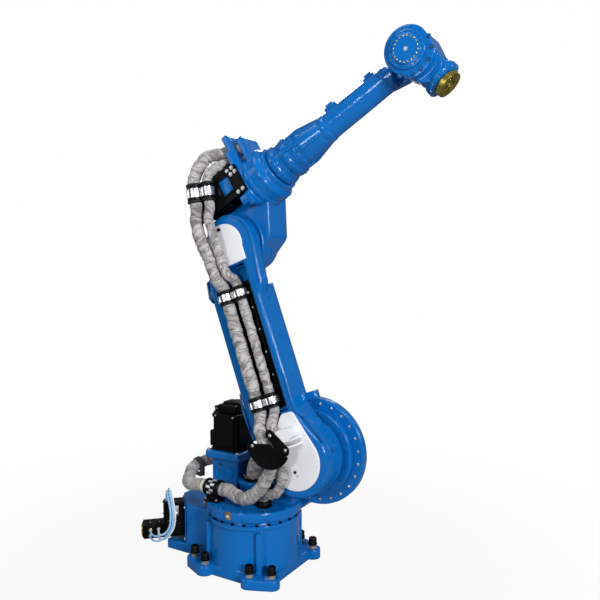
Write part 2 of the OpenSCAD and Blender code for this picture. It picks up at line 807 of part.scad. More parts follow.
// Values of the elbow, in the frame of the forearm
elbow_near = head_far + run_gap;
housing_lip_l = 26;
housing_lip_u = roll_face_u - housing_lip_l;
housing_l = 116;
housing_back_u = housing_lip_u - housing_l;
housing_lip_r = 121;
housing_round = 20;
elbow_ring_l = 90;
cap_step = 25;
elbow_cap_r = elbow_drum_r - cap_step;
elbow_step_y = elbow_near + elbow_ring_l;
brow_u = 150;
brow_r = 100;
brow_tuck = 4;
brow_v = elbow_drum_r - brow_r - brow_tuck;
web_ahead = 50;
web_front_u = housing_back_u + web_ahead;
web_step = 15;
web_far_y = elbow_far - web_step;
lug_t = 34;
lug_y0 = -122;
lug_y1 = 30;
lug_one_back = 18;
lug_one_u = housing_back_u - lug_one_back;
lug_two_ahead = 54;
lug_two_u = housing_back_u + lug_two_ahead;
lug_rim = 13;
lug_step = 61;
lug_root = 260;
entry_y = -50;
small_entry_y = -92;
chin_u = 158;
chin_v = -45;
chin_r = 45;
roll_hub_r = 90;
roll_hub_in = 16;
bulkhead_t = 28;
bulkhead_rim = 4;
bulkhead_low = 90;
motor_w = 124;
motor_l = 165;
motor_end_l = 36;
motor_end_w = 96;
motor_near = 78;
motor_air = 19;
motor_v = elbow_drum_r + motor_w / 2 + motor_air;
bulkhead_half = motor_near + motor_w / 2 + bulkhead_rim;
small_entry_air = 39;
small_entry_v = motor_v + motor_w / 2 + small_hose_r + small_entry_air;
bulkhead_over = 3;
bulkhead_top = small_entry_v + small_hose_r + bulkhead_over;
entry_air = 12;
entry_v = bulkhead_top + hose_r + entry_air;
lug_one_top = entry_v + hose_r + lug_rim;
lug_two_top = lug_one_top - lug_step;
elbow_motor_w = 150;
elbow_motor_l = 150;

module cone_x(x0, x1, z, r0, r1) {
    translate([x0, 0, z]) rotate([0, 90, 0]) cylinder(h = x1 - x0, r1 = r0, r2 = r1);
}
module elbow_casting() {
    color(blue_paint) fore_frame() difference() {
        union() {
            disc(0, 0, elbow_drum_r, elbow_near, elbow_step_y);
            disc(0, 0, elbow_cap_r, elbow_near, elbow_far);
            disc(0, 0, elbow_hub_r, elbow_near - run_gap - elbow_hub_in, elbow_near + cut);
            bar_x(housing_back_u, housing_lip_u - housing_round, 0, roll_offset, roll_housing_r);
            cone_x(housing_lip_u - housing_round, housing_lip_u, roll_offset, roll_housing_r, housing_lip_r);
            bar_x(housing_back_u, roll_face_u, 0, roll_offset, housing_lip_r);
            slab(elbow_near, web_far_y) {
                link2d([0, brow_v], brow_r, [brow_u, brow_v], brow_r);
                link2d([0, 0], elbow_cap_r, [chin_u, chin_v], chin_r);
                link2d([chin_u, chin_v], chin_r, [web_front_u, roll_offset], chin_r);
                polygon([[0, 0], [chin_u, chin_v], [web_front_u, roll_offset],
                    [housing_back_u - bulkhead_t / 2, elbow_drum_r]]);
            }
            block([housing_back_u - bulkhead_t, -bulkhead_half, bulkhead_low],
                [housing_back_u + cut, bulkhead_half, bulkhead_top]);
            block([lug_one_u, lug_y0, lug_root], [lug_one_u + lug_t, lug_y1, lug_one_top]);
            block([lug_two_u, lug_y0, lug_root], [lug_two_u + lug_t, lug_y1, lug_two_top]);
        }
        bar_x(roll_face_u - roll_hub_in - fit_gap, roll_face_u + cut, 0, roll_offset, roll_hub_r + fit_gap);
    }
}

elbow_motor_u = -70;
elbow_motor_v = 50;
module elbow_motor() {
    color(black_metal) fore_frame() translate([elbow_motor_u, 0, elbow_motor_v]) {
        slab(elbow_far, elbow_far + elbow_motor_l)
            square([elbow_motor_w, elbow_motor_w], center = true);
        disc(0, 0, motor_end_w / 2, elbow_far + elbow_motor_l, elbow_far + elbow_motor_l + motor_end_l);
    }
}

module wrist_motor(y, v) {
    back = housing_back_u - bulkhead_t;
    translate([back, y, v]) {
        block([-motor_l, -motor_w / 2, -motor_w / 2], [0, motor_w / 2, motor_w / 2]);
        block([-motor_l - motor_end_l, -motor_end_w / 2, -motor_end_w / 2], [-motor_l, motor_end_w / 2, motor_end_w / 2]);
    }
}
module wrist_motors() {
    color(black_metal) fore_frame() {
        wrist_motor(-motor_near, motor_v);
        wrist_motor(motor_near, motor_v);
    }
}

// Values of the hose run on the elbow
bracket_air = 18;
bracket_y = -motor_near - motor_w / 2 - bracket_air;
bracket_t = 8;
bracket_l = 334;
bracket_below = 81;
bracket_above = 72;
bracket_v0 = motor_v - bracket_below;
bracket_v1 = motor_v + bracket_above;
window_back = 60;
window_w = 70;
window_below = 41;
window_h = 85;
window_u1 = housing_back_u - window_back;
window_u0 = window_u1 - window_w;
window_v0 = motor_v - window_below;
window_v1 = window_v0 + window_h;
elbow_clamp_back = 258;
elbow_clamp_u = housing_back_u - elbow_clamp_back;
elbow_clamp_rise = 59;
elbow_clamp_v = motor_v + elbow_clamp_rise;
elbow_clamp_l = 100;
elbow_clamp_deg = 24;
elbow_wall = 8;
elbow_out_y = bracket_y - bracket_t - clamp_seat - hose_r;
elbow_small_y = bracket_y - bracket_t - clamp_seat - small_hose_r;
pitch_gap = 19;
hose_pitch = hose_r + small_hose_r + pitch_gap;

// The clamp of the elbow, in a frame whose z axis runs along the hoses
module elbow_clamp_frame() {
    fore_frame() translate([elbow_clamp_u, 0, elbow_clamp_v]) rotate([0, elbow_clamp_deg, 0]) children();
}
function elbow_clamp_point(p) = fore_point([
    elbow_clamp_u + p[0] * cos(elbow_clamp_deg) + p[2] * sin(elbow_clamp_deg),
    p[1],
    elbow_clamp_v - p[0] * sin(elbow_clamp_deg) + p[2] * cos(elbow_clamp_deg)
]);
module elbow_hose_clamp() {
    half = hose_r + elbow_wall;
    color(black_metal) elbow_clamp_frame() difference() {
        block([-half, elbow_out_y - half, -elbow_clamp_l / 2],
            [hose_pitch + small_hose_r + elbow_wall, bracket_y - bracket_t, elbow_clamp_l / 2]);
        translate([0, elbow_out_y, -elbow_clamp_l]) cylinder(h = 2 * elbow_clamp_l, r = hose_r + fit_gap);
        translate([hose_pitch, elbow_small_y, -elbow_clamp_l])
            cylinder(h = 2 * elbow_clamp_l, r = small_hose_r + fit_gap);
    }
}

module clamp_bracket() {
    color(black_metal) fore_frame() {
        difference() {
            block([housing_back_u - bracket_l, bracket_y - bracket_t, bracket_v0],
                [housing_back_u, bracket_y, bracket_v1]);
            block([window_u0, bracket_y - bracket_t - cut, window_v0], [window_u1, bracket_y + cut, window_v1]);
        }
        block([housing_back_u - bulkhead_t, bracket_y - cut, bracket_v0],
            [housing_back_u, -bulkhead_half, bracket_v1]);
    }
}

entry_u = lug_one_u;
module elbow_hose_large() {
    end = elbow_clamp_l / 2;
    color(grey_cloth) hose([
        elbow_clamp_point([0, elbow_out_y, -end]),
        elbow_clamp_point([0, elbow_out_y, 0]),
        elbow_clamp_point([0, elbow_out_y, end]),
        elbow_clamp_point([0, elbow_out_y, end + hose_r / 2]),
        fore_point([entry_u - 4.8 * hose_r, (7 * elbow_out_y + entry_y) / 8, entry_v - hose_r]),
        fore_point([entry_u - 3.2 * hose_r, (2 * elbow_out_y + entry_y) / 3, entry_v]),
        fore_point([entry_u - 1.8 * hose_r, (elbow_out_y + 4 * entry_y) / 5, entry_v]),
        fore_point([entry_u - 0.6 * hose_r, entry_y, entry_v]),
        fore_point([entry_u - fit_gap, entry_y, entry_v])
    ], hose_r, [0, 1, 0]);
}
module elbow_hose_small() {
    end = elbow_clamp_l / 2;
    wall_u = housing_back_u - bulkhead_t;
    color(grey_cloth) hose([
        elbow_clamp_point([hose_pitch, elbow_small_y, -end]),
        elbow_clamp_point([hose_pitch, elbow_small_y, 0]),
        elbow_clamp_point([hose_pitch, elbow_small_y, end]),
        elbow_clamp_point([hose_pitch, elbow_small_y, end + small_hose_r / 2]),
        elbow_clamp_point([hose_pitch + small_hose_r / 3, (8 * elbow_small_y + small_entry_y) / 9, end + 1.6 * small_hose_r]),
        fore_point([wall_u - 2.8 * small_hose_r, (elbow_small_y + small_entry_y) / 2, small_entry_v]),
        fore_point([wall_u - small_hose_r, small_entry_y, small_entry_v]),
        fore_point([wall_u - fit_gap, small_entry_y, small_entry_v])
    ], small_hose_r, [0, 1, 0]);
}

// The hoses that bend at the elbow, from the lower arm to the clamp of the elbow
loop_bow = 8;
loop_low = 40;
loop_high = 150;
module loop_hose_large() {
    color(grey_cloth) hose([
        lower_point([hose_out_x, out_y, arm_end_z + fit_gap]),
        lower_point([hose_out_x, out_y, arm_end_z + hose_r]),
        lower_point([hose_out_x - loop_bow, elbow_out_y, lower_len + loop_low]),
        lower_point([hose_out_x - loop_bow, elbow_out_y, lower_len + loop_high]),
        elbow_clamp_point([0, elbow_out_y, -elbow_clamp_l / 2 - hose_r]),
        elbow_clamp_point([0, elbow_out_y, -elbow_clamp_l / 2 - fit_gap])
    ], hose_r, [0, 1, 0], steps = 3);
}
module loop_hose_small() {
    color(grey_cloth) hose([
        lower_point([small_out_x, small_out_y, arm_end_z + fit_gap]),
        lower_point([small_out_x, small_out_y, arm_end_z + hose_r]),
        lower_point([small_out_x + loop_bow, elbow_small_y, lower_len + loop_low]),
        lower_point([small_out_x + loop_bow, elbow_small_y, lower_len + loop_high]),
        elbow_clamp_point([hose_pitch, elbow_small_y, -elbow_clamp_l / 2 - hose_r]),
        elbow_clamp_point([hose_pitch, elbow_small_y, -elbow_clamp_l / 2 - fit_gap])
    ], small_hose_r, [0, 1, 0], steps = 3);
}

// Values of the forearm: lengths along the roll axis and radii of the turned profile
root_u = roll_face_u + run_gap;
root_flange_t = 34;
collar_one_t = 40;
collar_one_r = 99;
collar_two_t = 34;
collar_two_r = 103;
collar_three_t = 50;
collar_three_r = 96;
flare_r = 86;
flare_l = 30;
flare_end_l = 327;
flare_end_u = root_u + flare_end_l;
fin_t = 12;
fin_count = 8;
tip_air = 10;
tip_gap = wrist_drum_r + tip_air;
tongue_near = 40;
tongue_far = 76;
tongue_r = 72;
tongue_root = 180;
tongue_root_r = 34;
wrist_hub_r = 52;
wrist_hub_in = 20;
tip_point = 14;
tip_taper = 40;
rib_on_tube_gap = 45;
rib_on_tube_u = flare_end_u + rib_on_tube_gap;
rib_on_tube_l = 40;
rib_on_tube_h = 30;
rib_two_drop = 250;
rib_two_u = fore_len - rib_two_drop;
rib_two_l = 36;
rib_two_h = 26;
tube_rib_w = 24;

module forearm_casting() {
    a = root_u + root_flange_t;
    b = a + collar_one_t;
    c = b + collar_two_t;
    d = c + collar_three_t;
    tip_u = fore_len - tip_gap;
    color(blue_paint) fore_frame() difference() {
        union() {
            translate([0, 0, roll_offset]) rotate([0, 90, 0]) rotate_extrude() polygon([
                [0, roll_face_u - roll_hub_in], [roll_hub_r, roll_face_u - roll_hub_in], [roll_hub_r, root_u],
                [root_flange_r, root_u], [root_flange_r, a], [collar_one_r, a], [collar_one_r, b],
                [collar_two_r, b], [collar_two_r, c], [collar_three_r, c], [collar_three_r, d],
                [flare_r, d], [flare_r, d + flare_l], [tube_r, flare_end_u], [tube_tip_r, tip_u], [0, tip_u]
            ]);
            slab(tongue_near, tongue_far)
                link2d([fore_len, roll_offset], tongue_r, [fore_len - tongue_root, roll_offset], tongue_root_r);
            translate([0, 0, roll_offset]) for (k = [0 : fin_count - 1]) rotate([360 * (k + 0.5) / fin_count, 0, 0])
                slab(-fin_t / 2, fin_t / 2)
                    polygon([[d, 0], [d, collar_three_r], [d + flare_l, collar_three_r], [flare_end_u, tube_r], [flare_end_u, 0]]);
            block([rib_on_tube_u, -tube_rib_w / 2, roll_offset],
                [rib_on_tube_u + rib_on_tube_l, tube_rib_w / 2, roll_offset + tube_r + rib_on_tube_h]);
            block([rib_two_u, -tube_rib_w / 2, roll_offset],
                [rib_two_u + rib_two_l, tube_rib_w / 2, roll_offset + tube_tip_r + rib_two_h]);
        }
        for (s = [-1, 1]) translate([tip_u, 0, roll_offset]) scale([1, 1, s])
            slab(-tube_r - cut, tongue_near - run_gap) polygon([
                [cut, tip_point], [-tip_taper, tube_r], [-tip_taper, 2 * tube_r], [cut, 2 * tube_r]
            ]);
        disc(fore_len, roll_offset, wrist_hub_r + fit_gap,
            tongue_near - cut, tongue_near - run_gap + wrist_hub_in + run_gap + fit_gap);
    }
}

// Values of the wrist, in the frame of the tool
wrist_far = tongue_near - run_gap;
tool_t = 24;
tool_d = tool_pcd + tool_hole_d + 2 * tool_rim;
nose_end = tool_len - tool_t - run_gap;
nose_lead = 10;
nose_from = nose_end - nose_r - nose_lead;
face_arc_r = 130;
nose_sink = 3;
nose_ring_t = 20;
nose_ring_back = 26;
neck_r = 70;
cover_disc_r = 88;
cover_disc_t = 8;
cover_step_r = 66;
cover_step_t = 5;
tool_hub_r = 40;
tool_hub_in = 12;
pilot_depth = 8;

module wrist_casting() {
    ring_0 = nose_end - nose_ring_back;
    color(blue_paint) wrist_frame() difference() {
        union() {
            disc(0, 0, wrist_drum_r, -wrist_near, wrist_far);
            disc(0, 0, wrist_hub_r, wrist_far - cut, wrist_far + run_gap + wrist_hub_in);
            slab(-wrist_near, nose_sink - nose_r) intersection() {
                link2d([0, 0], wrist_drum_r, [nose_from, 0], nose_r - nose_sink);
                circle(r = face_arc_r);
            }
            slab(-nose_r - cut, wrist_far) link2d([0, 0], wrist_drum_r, [nose_from, 0], nose_r - nose_sink);
            difference() {
                bar_x(0, ring_0 + cut, 0, 0, nose_r);
                block([-cut, wrist_far, -2 * nose_r], [ring_0 - nose_ring_back, 2 * nose_r, 2 * nose_r]);
            }
            bar_x(ring_0, ring_0 + nose_ring_t, 0, 0, nose_ring_r);
            bar_x(ring_0, nose_end, 0, 0, neck_r);
        }
        bar_x(nose_end - tool_hub_in - fit_gap, nose_end + cut, 0, 0, tool_hub_r + fit_gap);
    }
}

module wrist_cover() {
    color(blue_paint) wrist_frame() {
        disc(0, 0, cover_disc_r, -wrist_near - cover_disc_t, -wrist_near);
        disc(0, 0, cover_step_r, -wrist_near - cover_disc_t - cover_step_t, -wrist_near - cover_disc_t);
    }
}

module tool_flange() {
    color(brass_plate) wrist_frame() difference() {
        union() {
            bar_x(tool_len - tool_t, tool_len, 0, 0, tool_d / 2);
            bar_x(nose_end - tool_hub_in, tool_len - tool_t + cut, 0, 0, tool_hub_r);
        }
        bar_x(tool_len - pilot_depth, tool_len + cut, 0, 0, pilot_d / 2);
        for (k = [0 : 5]) rotate([60 * k, 0, 0])
            bar_x(tool_len - tool_t - cut, tool_len + cut, 0, tool_pcd / 2, tool_hole_d / 2);
    }
}

// Small air tubes that loop from the fittings over the corner into the top of the hood, as cords.
// Routes in the frame of the panel, from a fitting to the hood.
tube_d = 10;
tube_routes = [
    [
        [-61, 150, 116], [-84, 151, 116], [-106, 149, 117], [-132, 134, 123], [-155, 111, 139], [-167, 90, 167],
        [-169, 74, 199], [-165, 67, 233], [-155, 66, 272], [-139, 70, 307], [-115, 75, 335], [-86, 79, 353],
        [-54, 80, 359], [-26, 80, 346], [-3, 79, 316], [-3, 79, 289]
    ],
    [
        [-61, 194, 116], [-84, 193, 116], [-121, 179, 117], [-151, 155, 126], [-172, 126, 144], [-181, 101, 172],
        [-182, 84, 204], [-178, 78, 238], [-167, 76, 278], [-150, 80, 315], [-124, 85, 345], [-90, 90, 365],
        [-53, 91, 372], [-19, 92, 356], [9, 93, 321], [9, 93, 289]
    ],
    [
        [-61, 150, 148], [-84, 151, 146], [-103, 149, 143], [-125, 137, 146], [-144, 118, 156], [-155, 99, 176],
        [-158, 86, 204], [-154, 80, 234], [-145, 80, 270], [-130, 84, 301], [-108, 89, 327], [-82, 92, 343],
        [-55, 93, 348], [-33, 92, 336], [-17, 91, 311], [-17, 91, 289]
    ],
    [
        [-61, 194, 148], [-84, 193, 146], [-118, 179, 143], [-144, 158, 149], [-161, 133, 161], [-169, 110, 181],
        [-171, 96, 209], [-167, 91, 239], [-157, 90, 276], [-141, 94, 309], [-117, 99, 337], [-86, 103, 355],
        [-54, 104, 361], [-26, 104, 346], [-5, 105, 316], [-5, 105, 289]
    ]
];
module air_tube(k) {
    panel_frame() hose(tube_routes[k], tube_d / 2, [0, 0.3, 1], 8, 1);
}
module blue_tubes() {
    color(tube_blue) for (k = [1, 3]) air_tube(k);
}
module white_tubes() {
    color(tube_white) for (k = [0, 2]) air_tube(k);
}

base_casting();
anchor_bolts();
bolt_collars();
connector_panel();
connector_hoods();
air_fittings();
blue_tubes();
white_tubes();
turret_casting();
shoulder_reducer();
turn_gear_housing();
turn_motor();
shoulder_motor();
turret_hose_clamp();
turret_hose();
riser_sleeve();
riser_ring();
hose_gland();
rim_clips();
lower_arm_casting();
lower_cover();
upper_cover();
channel_plate();
lower_hose_clamp();
upper_hose_clamp();
hose_guide();
guide_bracket();
arm_hose_large();
arm_hose_small();
knee_hose_large();
knee_hose_small();
elbow_casting();
elbow_motor();
wrist_motors();
clamp_bracket();
elbow_hose_clamp();
elbow_hose_large();
elbow_hose_small();
loop_hose_large();
loop_hose_small();
forearm_casting();
wrist_casting();
wrist_cover();
tool_flange();
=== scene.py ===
import json
from math import atan2, cos, degrees, pi, radians, sin

import bmesh
import bpy
import numpy as np
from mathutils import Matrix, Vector


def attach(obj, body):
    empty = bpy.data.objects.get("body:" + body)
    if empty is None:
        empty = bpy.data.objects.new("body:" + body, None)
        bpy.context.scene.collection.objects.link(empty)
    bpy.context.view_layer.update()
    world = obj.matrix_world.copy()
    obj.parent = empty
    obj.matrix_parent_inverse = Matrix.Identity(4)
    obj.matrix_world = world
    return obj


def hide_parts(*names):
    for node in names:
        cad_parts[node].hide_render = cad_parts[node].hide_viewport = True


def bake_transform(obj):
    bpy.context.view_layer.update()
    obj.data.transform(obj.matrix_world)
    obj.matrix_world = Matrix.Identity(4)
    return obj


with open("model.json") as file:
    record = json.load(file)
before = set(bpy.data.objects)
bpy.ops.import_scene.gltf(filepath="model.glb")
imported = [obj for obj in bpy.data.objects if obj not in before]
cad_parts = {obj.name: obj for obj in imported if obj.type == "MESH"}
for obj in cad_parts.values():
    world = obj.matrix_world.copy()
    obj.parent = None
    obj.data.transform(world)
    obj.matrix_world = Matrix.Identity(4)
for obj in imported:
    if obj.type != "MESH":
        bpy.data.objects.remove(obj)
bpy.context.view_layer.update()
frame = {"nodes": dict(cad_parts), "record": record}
MM = 0.001
length_of = np.linalg.norm

# sizes in millimetres, the same as in the solids
SHOULDER_X, SHOULDER_Z, LOWER_LEN = 335, 640, 1150
LEAN, LIFT, DROP = 20.0, 31.25, 43.75
ROLL_OFFSET, FORE_LEN, TOOL_LEN = 215, 1255, 218
HOSE_R, SMALL_R, FIT = 34, 25, 0.3
ARM_NEAR, COVER_T, HOSE_AIR = 136, 10, 9
CHANNEL_FLOOR, CHAN_PLATE, CLAMP_SEAT = -86, 4, 4
LOW_CLAMP, HIGH_CLAMP, ARM_CLAMP_L = 318, 890, 60
GUIDE_LOW, ENTER_Z, LEAVE_Z, ARM_END = 50, 160, 1040, 1075
HOSE_IN_X, SMALL_IN_X, HOSE_OUT_X, SMALL_OUT_X = -120, -34, -108, -46
COVER_FACE, PLATE_FACE = -ARM_NEAR - COVER_T, CHANNEL_FLOOR - CHAN_PLATE
OUT_Y, SMALL_OUT_Y = COVER_FACE - HOSE_AIR - HOSE_R, COVER_FACE - HOSE_AIR - SMALL_R
IN_Y, SMALL_IN_Y = PLATE_FACE - CLAMP_SEAT - HOSE_R, PLATE_FACE - CLAMP_SEAT - SMALL_R
CLAMP_X, CLAMP_Y, CLAMP_Z, CLAMP_L = -150, -156, 425, 96
GLAND_X, GLAND_Y, GLAND_H, PLATE_Z = 120, -90, 30, 356
ELBOW_CLAMP_U, ELBOW_CLAMP_V, ELBOW_CLAMP_L, ELBOW_CLAMP_DEG = -8, 305, 100, 24
BRACKET_FACE, HOSE_PITCH = -166, 78
ELBOW_OUT_Y, ELBOW_SMALL_Y = BRACKET_FACE - CLAMP_SEAT - HOSE_R, BRACKET_FACE - CLAMP_SEAT - SMALL_R
ENTRY_U, ENTRY_Y, ENTRY_V = 232, -50, 446
WALL_U, SMALL_ENTRY_Y, SMALL_ENTRY_V = 222, -92, 372
WALL_REAR, LOOP_END_Y, LOOP_END_Z, LOOP_REAR = -40, 184, 505, 425
HOUSING_X, HOUSING_Y, HOUSING_W = -176, 50, 160
BOSS_X, BOSS_Y, BOSS_TOP, WALL_NEAR, RISER_R, RING_T = -6, 16, 450, 100, 46, 14
FLANGE_Y, DRUM_R, FOOT_TOP, MOTOR_FOOT, TUBE_D = 74, 188, 48, 604, 10
CORNERS = [(-1, -1), (-1, 1), (1, -1), (1, 1)]


# frames: 4 x 4 matrices, in millimetres
def shift(x, y, z):
    m = np.eye(4)
    m[:3, 3] = (x, y, z)
    return m


def turn(i, j, deg):
    """A turn from axis i towards axis j."""
    m = np.eye(4)
    c, s = cos(radians(deg)), sin(radians(deg))
    m[i, i], m[i, j], m[j, i], m[j, j] = c, -s, s, c
    return m


def turn_x(deg):
    return turn(1, 2, deg)


def turn_y(deg):
    return turn(2, 0, deg)


def turn_z(deg):
    return turn(0, 1, deg)


def at(m, p):
    """Point p of frame m, in the world."""
    return (m @ np.array([p[0], p[1], p[2], 1.0]))[:3]


def low(p):
    return at(LOWER, p)


def fore(p):
    return at(FORE, p)


def clamp_at(p):
    return at(ELBOW_CLAMP, p)


TURNS = {"+x": turn_y(90), "-x": turn_y(-90), "+y": turn_x(-90), "-y": turn_x(90)}


def facing(m, p, axis):
    """Frame at point p of frame m whose z axis runs along axis ("+x", "-y", ...) of m."""
    return m @ shift(*p) @ TURNS[axis]


def near(m, *p):
    """Frame at point p of frame m that looks to the side with the hoses."""
    return facing(m, p, "-y")


def ahead(m, *p):
    """Frame at point p of frame m that looks along its x axis."""
    return facing(m, p, "+x")


def roll(u):
    """Frame on the forearm's roll axis that looks along it."""
    return ahead(FORE, u, 0, ROLL_OFFSET)


WORLD = np.eye(4)
SHOULDER = shift(SHOULDER_X, 0, SHOULDER_Z)
LOWER = SHOULDER @ turn_y(-LEAN)
FORE = shift(*low((0, 0, LOWER_LEN))) @ turn_y(-LIFT)
WRIST = shift(*fore((FORE_LEN, 0, ROLL_OFFSET))) @ turn_y(DROP)
PANEL = shift(-420, -80, 0) @ turn_z(135)
ELBOW_CLAMP = FORE @ shift(ELBOW_CLAMP_U, 0, ELBOW_CLAMP_V) @ turn_y(ELBOW_CLAMP_DEG)


# shader nodes; m is a material or the world
def node(m, kind, **values):
    n = m.node_tree.nodes.new(kind)
    for k, v in values.items():
        if hasattr(n, k) and k not in n.inputs:
            setattr(n, k, v)
        else:
            n.inputs[k].default_value = v
    return n


def link(m, a, b):
    m.node_tree.links.new(a, b)


def surface(m, name):
    """An input of the material's surface shader."""
    return m.node_tree.nodes["Principled BSDF"].inputs[name]


def coords(m):
    return node(m, "ShaderNodeTexCoord").outputs["Object"]


def noise(m, scale, detail, **values):
    n = node(m, "ShaderNodeTexNoise", Scale=scale, Detail=detail, **values)
    link(m, coords(m), n.inputs["Vector"])
    return n.outputs["Fac"]


def remap(m, value, low, high, to_low, to_high):
    """A value brought from the span low..high to another one."""
    spans = {"From Min": low, "From Max": high, "To Min": to_low, "To Max": to_high}
    n = node(m, "ShaderNodeMapRange", **spans)
    link(m, value, n.inputs["Value"])
    return n.outputs["Result"]


def calculate(m, operation, *sockets, **values):
    n = node(m, "ShaderNodeMath", operation=operation, **values)
    for socket, target in zip(sockets, n.inputs):
        link(m, socket, target)
    return n


def camera_ray(m):
    return node(m, "ShaderNodeLightPath").outputs["Is Camera Ray"]


def material(name, color, rough, metal=0.0, sheen=0.0, spec=0.5):
    m = bpy.data.materials.new(name)
    m.use_nodes = True
    values = {"Base Color": (*color, 1), "Roughness": rough, "Metallic": metal, "Sheen Weight": sheen}
    for key, value in {**values, "Specular IOR Level": spec}.items():
        surface(m, key).default_value = value
    return m


def tint(m, scale, low, high, detail=4.0, spread=(0.35, 0.65)):
    """Colour that wanders between two values over the surface."""
    ramp = node(m, "ShaderNodeValToRGB")
    for stop, place, color in zip(ramp.color_ramp.elements, spread, (low, high)):
        stop.position = place
        stop.color = (*color, 1)
    link(m, noise(m, scale, detail, Roughness=0.6), ramp.inputs["Fac"])
    link(m, ramp.outputs["Color"], surface(m, "Base Color"))


def bump(m, sources, last=None):
    """sources: (height socket, strength, distance in metres), stacked."""
    for height, strength, distance in sources:
        b = node(m, "ShaderNodeBump", Strength=strength, Distance=distance)
        link(m, height, b.inputs["Height"])
        if last is not None:
            link(m, last, b.inputs["Normal"])
        last = b.outputs["Normal"]
    link(m, last, surface(m, "Normal"))


def coat(name, color, rough, colors, gloss=None, bumps=(), rounding=None, **more):
    """colors: scale, low, high. gloss: scale and span of roughness. bumps: scale, detail, strength, distance.
    rounding: radius in metres by which the shading rounds the edges."""
    m = material(name, color, rough, **more)
    tint(m, *colors)
    if gloss:
        result = remap(m, noise(m, gloss[0], 5.0), 0.3, 0.7, *gloss[1:])
        link(m, result, surface(m, "Roughness"))
    if bumps:
        last = None
        if rounding:
            last = node(m, "ShaderNodeBevel", samples=8, Radius=rounding).outputs["Normal"]
        bump(m, [(noise(m, *b[:2]), *b[2:]) for b in bumps], last)
    return m


def make_blue(name, rounding):
    return coat(
        name, (0.0015, 0.122, 0.42), 0.22, (2.2, (0.0012, 0.113, 0.395), (0.002, 0.131, 0.445)),
        (9.0, 0.10, 0.17), [(14.0, 1.0, 0.22, 0.008), (45.0, 2.0, 0.10, 0.004), (420.0, 2.0, 0.05, 0.0008)],
        rounding, spec=0.30
    )


def make_plain(name, low, high, rough, grain):
    return coat(name, low, rough, (grain, low, high), (grain * 2, rough * 0.85, rough * 1.15))


def make_cloth():
    m = material("grey_jacket", (0.47, 0.455, 0.455), 0.82, sheen=0.2)
    tint(m, 9.0, (0.385, 0.372, 0.374), (0.475, 0.46, 0.462), 3.0, (0.3, 0.72))
    # creases that run round the sleeve
    sleeve = node(m, "ShaderNodeAttribute", attribute_name="sleeve")
    run = node(m, "ShaderNodeTexNoise", Scale=0.34, Detail=2.0, Roughness=0.5, Distortion=0.7)
    link(m, sleeve.outputs["Vector"], run.inputs["Vector"])
    half = calculate(m, "SUBTRACT", run.outputs["Fac"])
    half.inputs[1].default_value = 0.5
    crease = calculate(m, "ABSOLUTE", half.outputs[0]).outputs[0]
    # painted shade: the colour is darkened in the creases and the inward folds, and on whole hoses by their
    # shade value
    fold_shade = node(m, "ShaderNodeAttribute", attribute_name="fold_shade")
    crease_shade = calculate(m, "ADD", remap(m, crease, 0.0, 0.04, 0.95, 0.0), fold_shade.outputs["Fac"], use_clamp=True)
    mix = node(m, "ShaderNodeMix", data_type="RGBA", blend_type="MULTIPLY")
    base = surface(m, "Base Color")
    link(m, crease_shade.outputs[0], mix.inputs[0])
    link(m, base.links[0].from_socket, mix.inputs[6])
    mix.inputs[7].default_value = (0.40, 0.385, 0.385, 1)
    link(m, mix.outputs[2], base)
    weave = node(m, "ShaderNodeTexVoronoi", Scale=620.0)
    link(m, coords(m), weave.inputs["Vector"])
    bump(m, [(remap(m, crease, 0.0, 0.10, 0.0, 1.0), 0.9, 0.006), (noise(m, 30.0, 3.0), 0.30, 0.006),
             (noise(m, 120.0, 3.0), 0.22, 0.0015), (weave.outputs["Distance"], 0.35, 0.0008)])
    return m


CAST = make_blue("blue_enamel", 0.016)
BLUE = make_blue("blue_fittings", 0.003)
ROUND = make_blue("blue_enamel_round", 0.028)
WHITE = coat(
    "pale_cover", (0.72, 0.74, 0.78), 0.42, (3.0, (0.70, 0.72, 0.765), (0.755, 0.77, 0.80)),
    (14.0, 0.36, 0.5), [(700.0, 2.0, 0.10, 0.0006)]
)
BLACK = coat(
    "black_satin", (0.0016, 0.0016, 0.0018), 0.34, (6.0, (0.001, 0.001, 0.0012), (0.0024, 0.0024, 0.0027)),
    (25.0, 0.30, 0.48), [(520.0, 3.0, 0.18, 0.0007)], spec=0.10
)
RUBBER = coat(
    "black_rubber", (0.008, 0.008, 0.009), 0.6, (12.0, (0.006, 0.006, 0.0065), (0.012, 0.012, 0.0125)), None,
    [(260.0, 3.0, 0.25, 0.0012)], spec=0.25
)
STEEL = coat(
    "bright_steel", (0.62, 0.63, 0.65), 0.28, (30.0, (0.60, 0.61, 0.63), (0.76, 0.77, 0.79)),
    (24.0, 0.33, 0.44), metal=1.0
)
BRASS = coat(
    "yellow_plating", (0.78, 0.63, 0.10), 0.25, (18.0, (0.66, 0.53, 0.08), (0.90, 0.74, 0.18)),
    (50.0, 0.16, 0.34), metal=1.0
)
# painted shade: a near-black put in holes, pockets and gaps where shade falls
HOLE_SHADE = coat("painted_hole_shade", (0.006, 0.006, 0.006), 0.7, (40.0, (0.004, 0.004, 0.004), (0.010, 0.010, 0.009)))
CLOTH = make_cloth()
CLIP = make_plain("aged_plating", (0.12, 0.085, 0.022), (0.20, 0.145, 0.04), 0.4, 18.0)
TURNED = make_plain("turned_steel", (0.20, 0.185, 0.16), (0.30, 0.28, 0.24), 0.35, 30.0)
TUBE_BLUE = make_plain("blue_tube", (0.20, 0.42, 0.70), (0.27, 0.50, 0.78), 0.32, 40.0)
TUBE_WHITE = make_plain("white_tube", (0.72, 0.74, 0.78), (0.82, 0.83, 0.85), 0.32, 40.0)
TAPE = make_plain("green_tape", (0.46, 0.55, 0.42), (0.58, 0.66, 0.52), 0.6, 60.0)
STRAP = make_plain("black_strap", (0.012, 0.012, 0.013), (0.024, 0.024, 0.026), 0.7, 90.0)

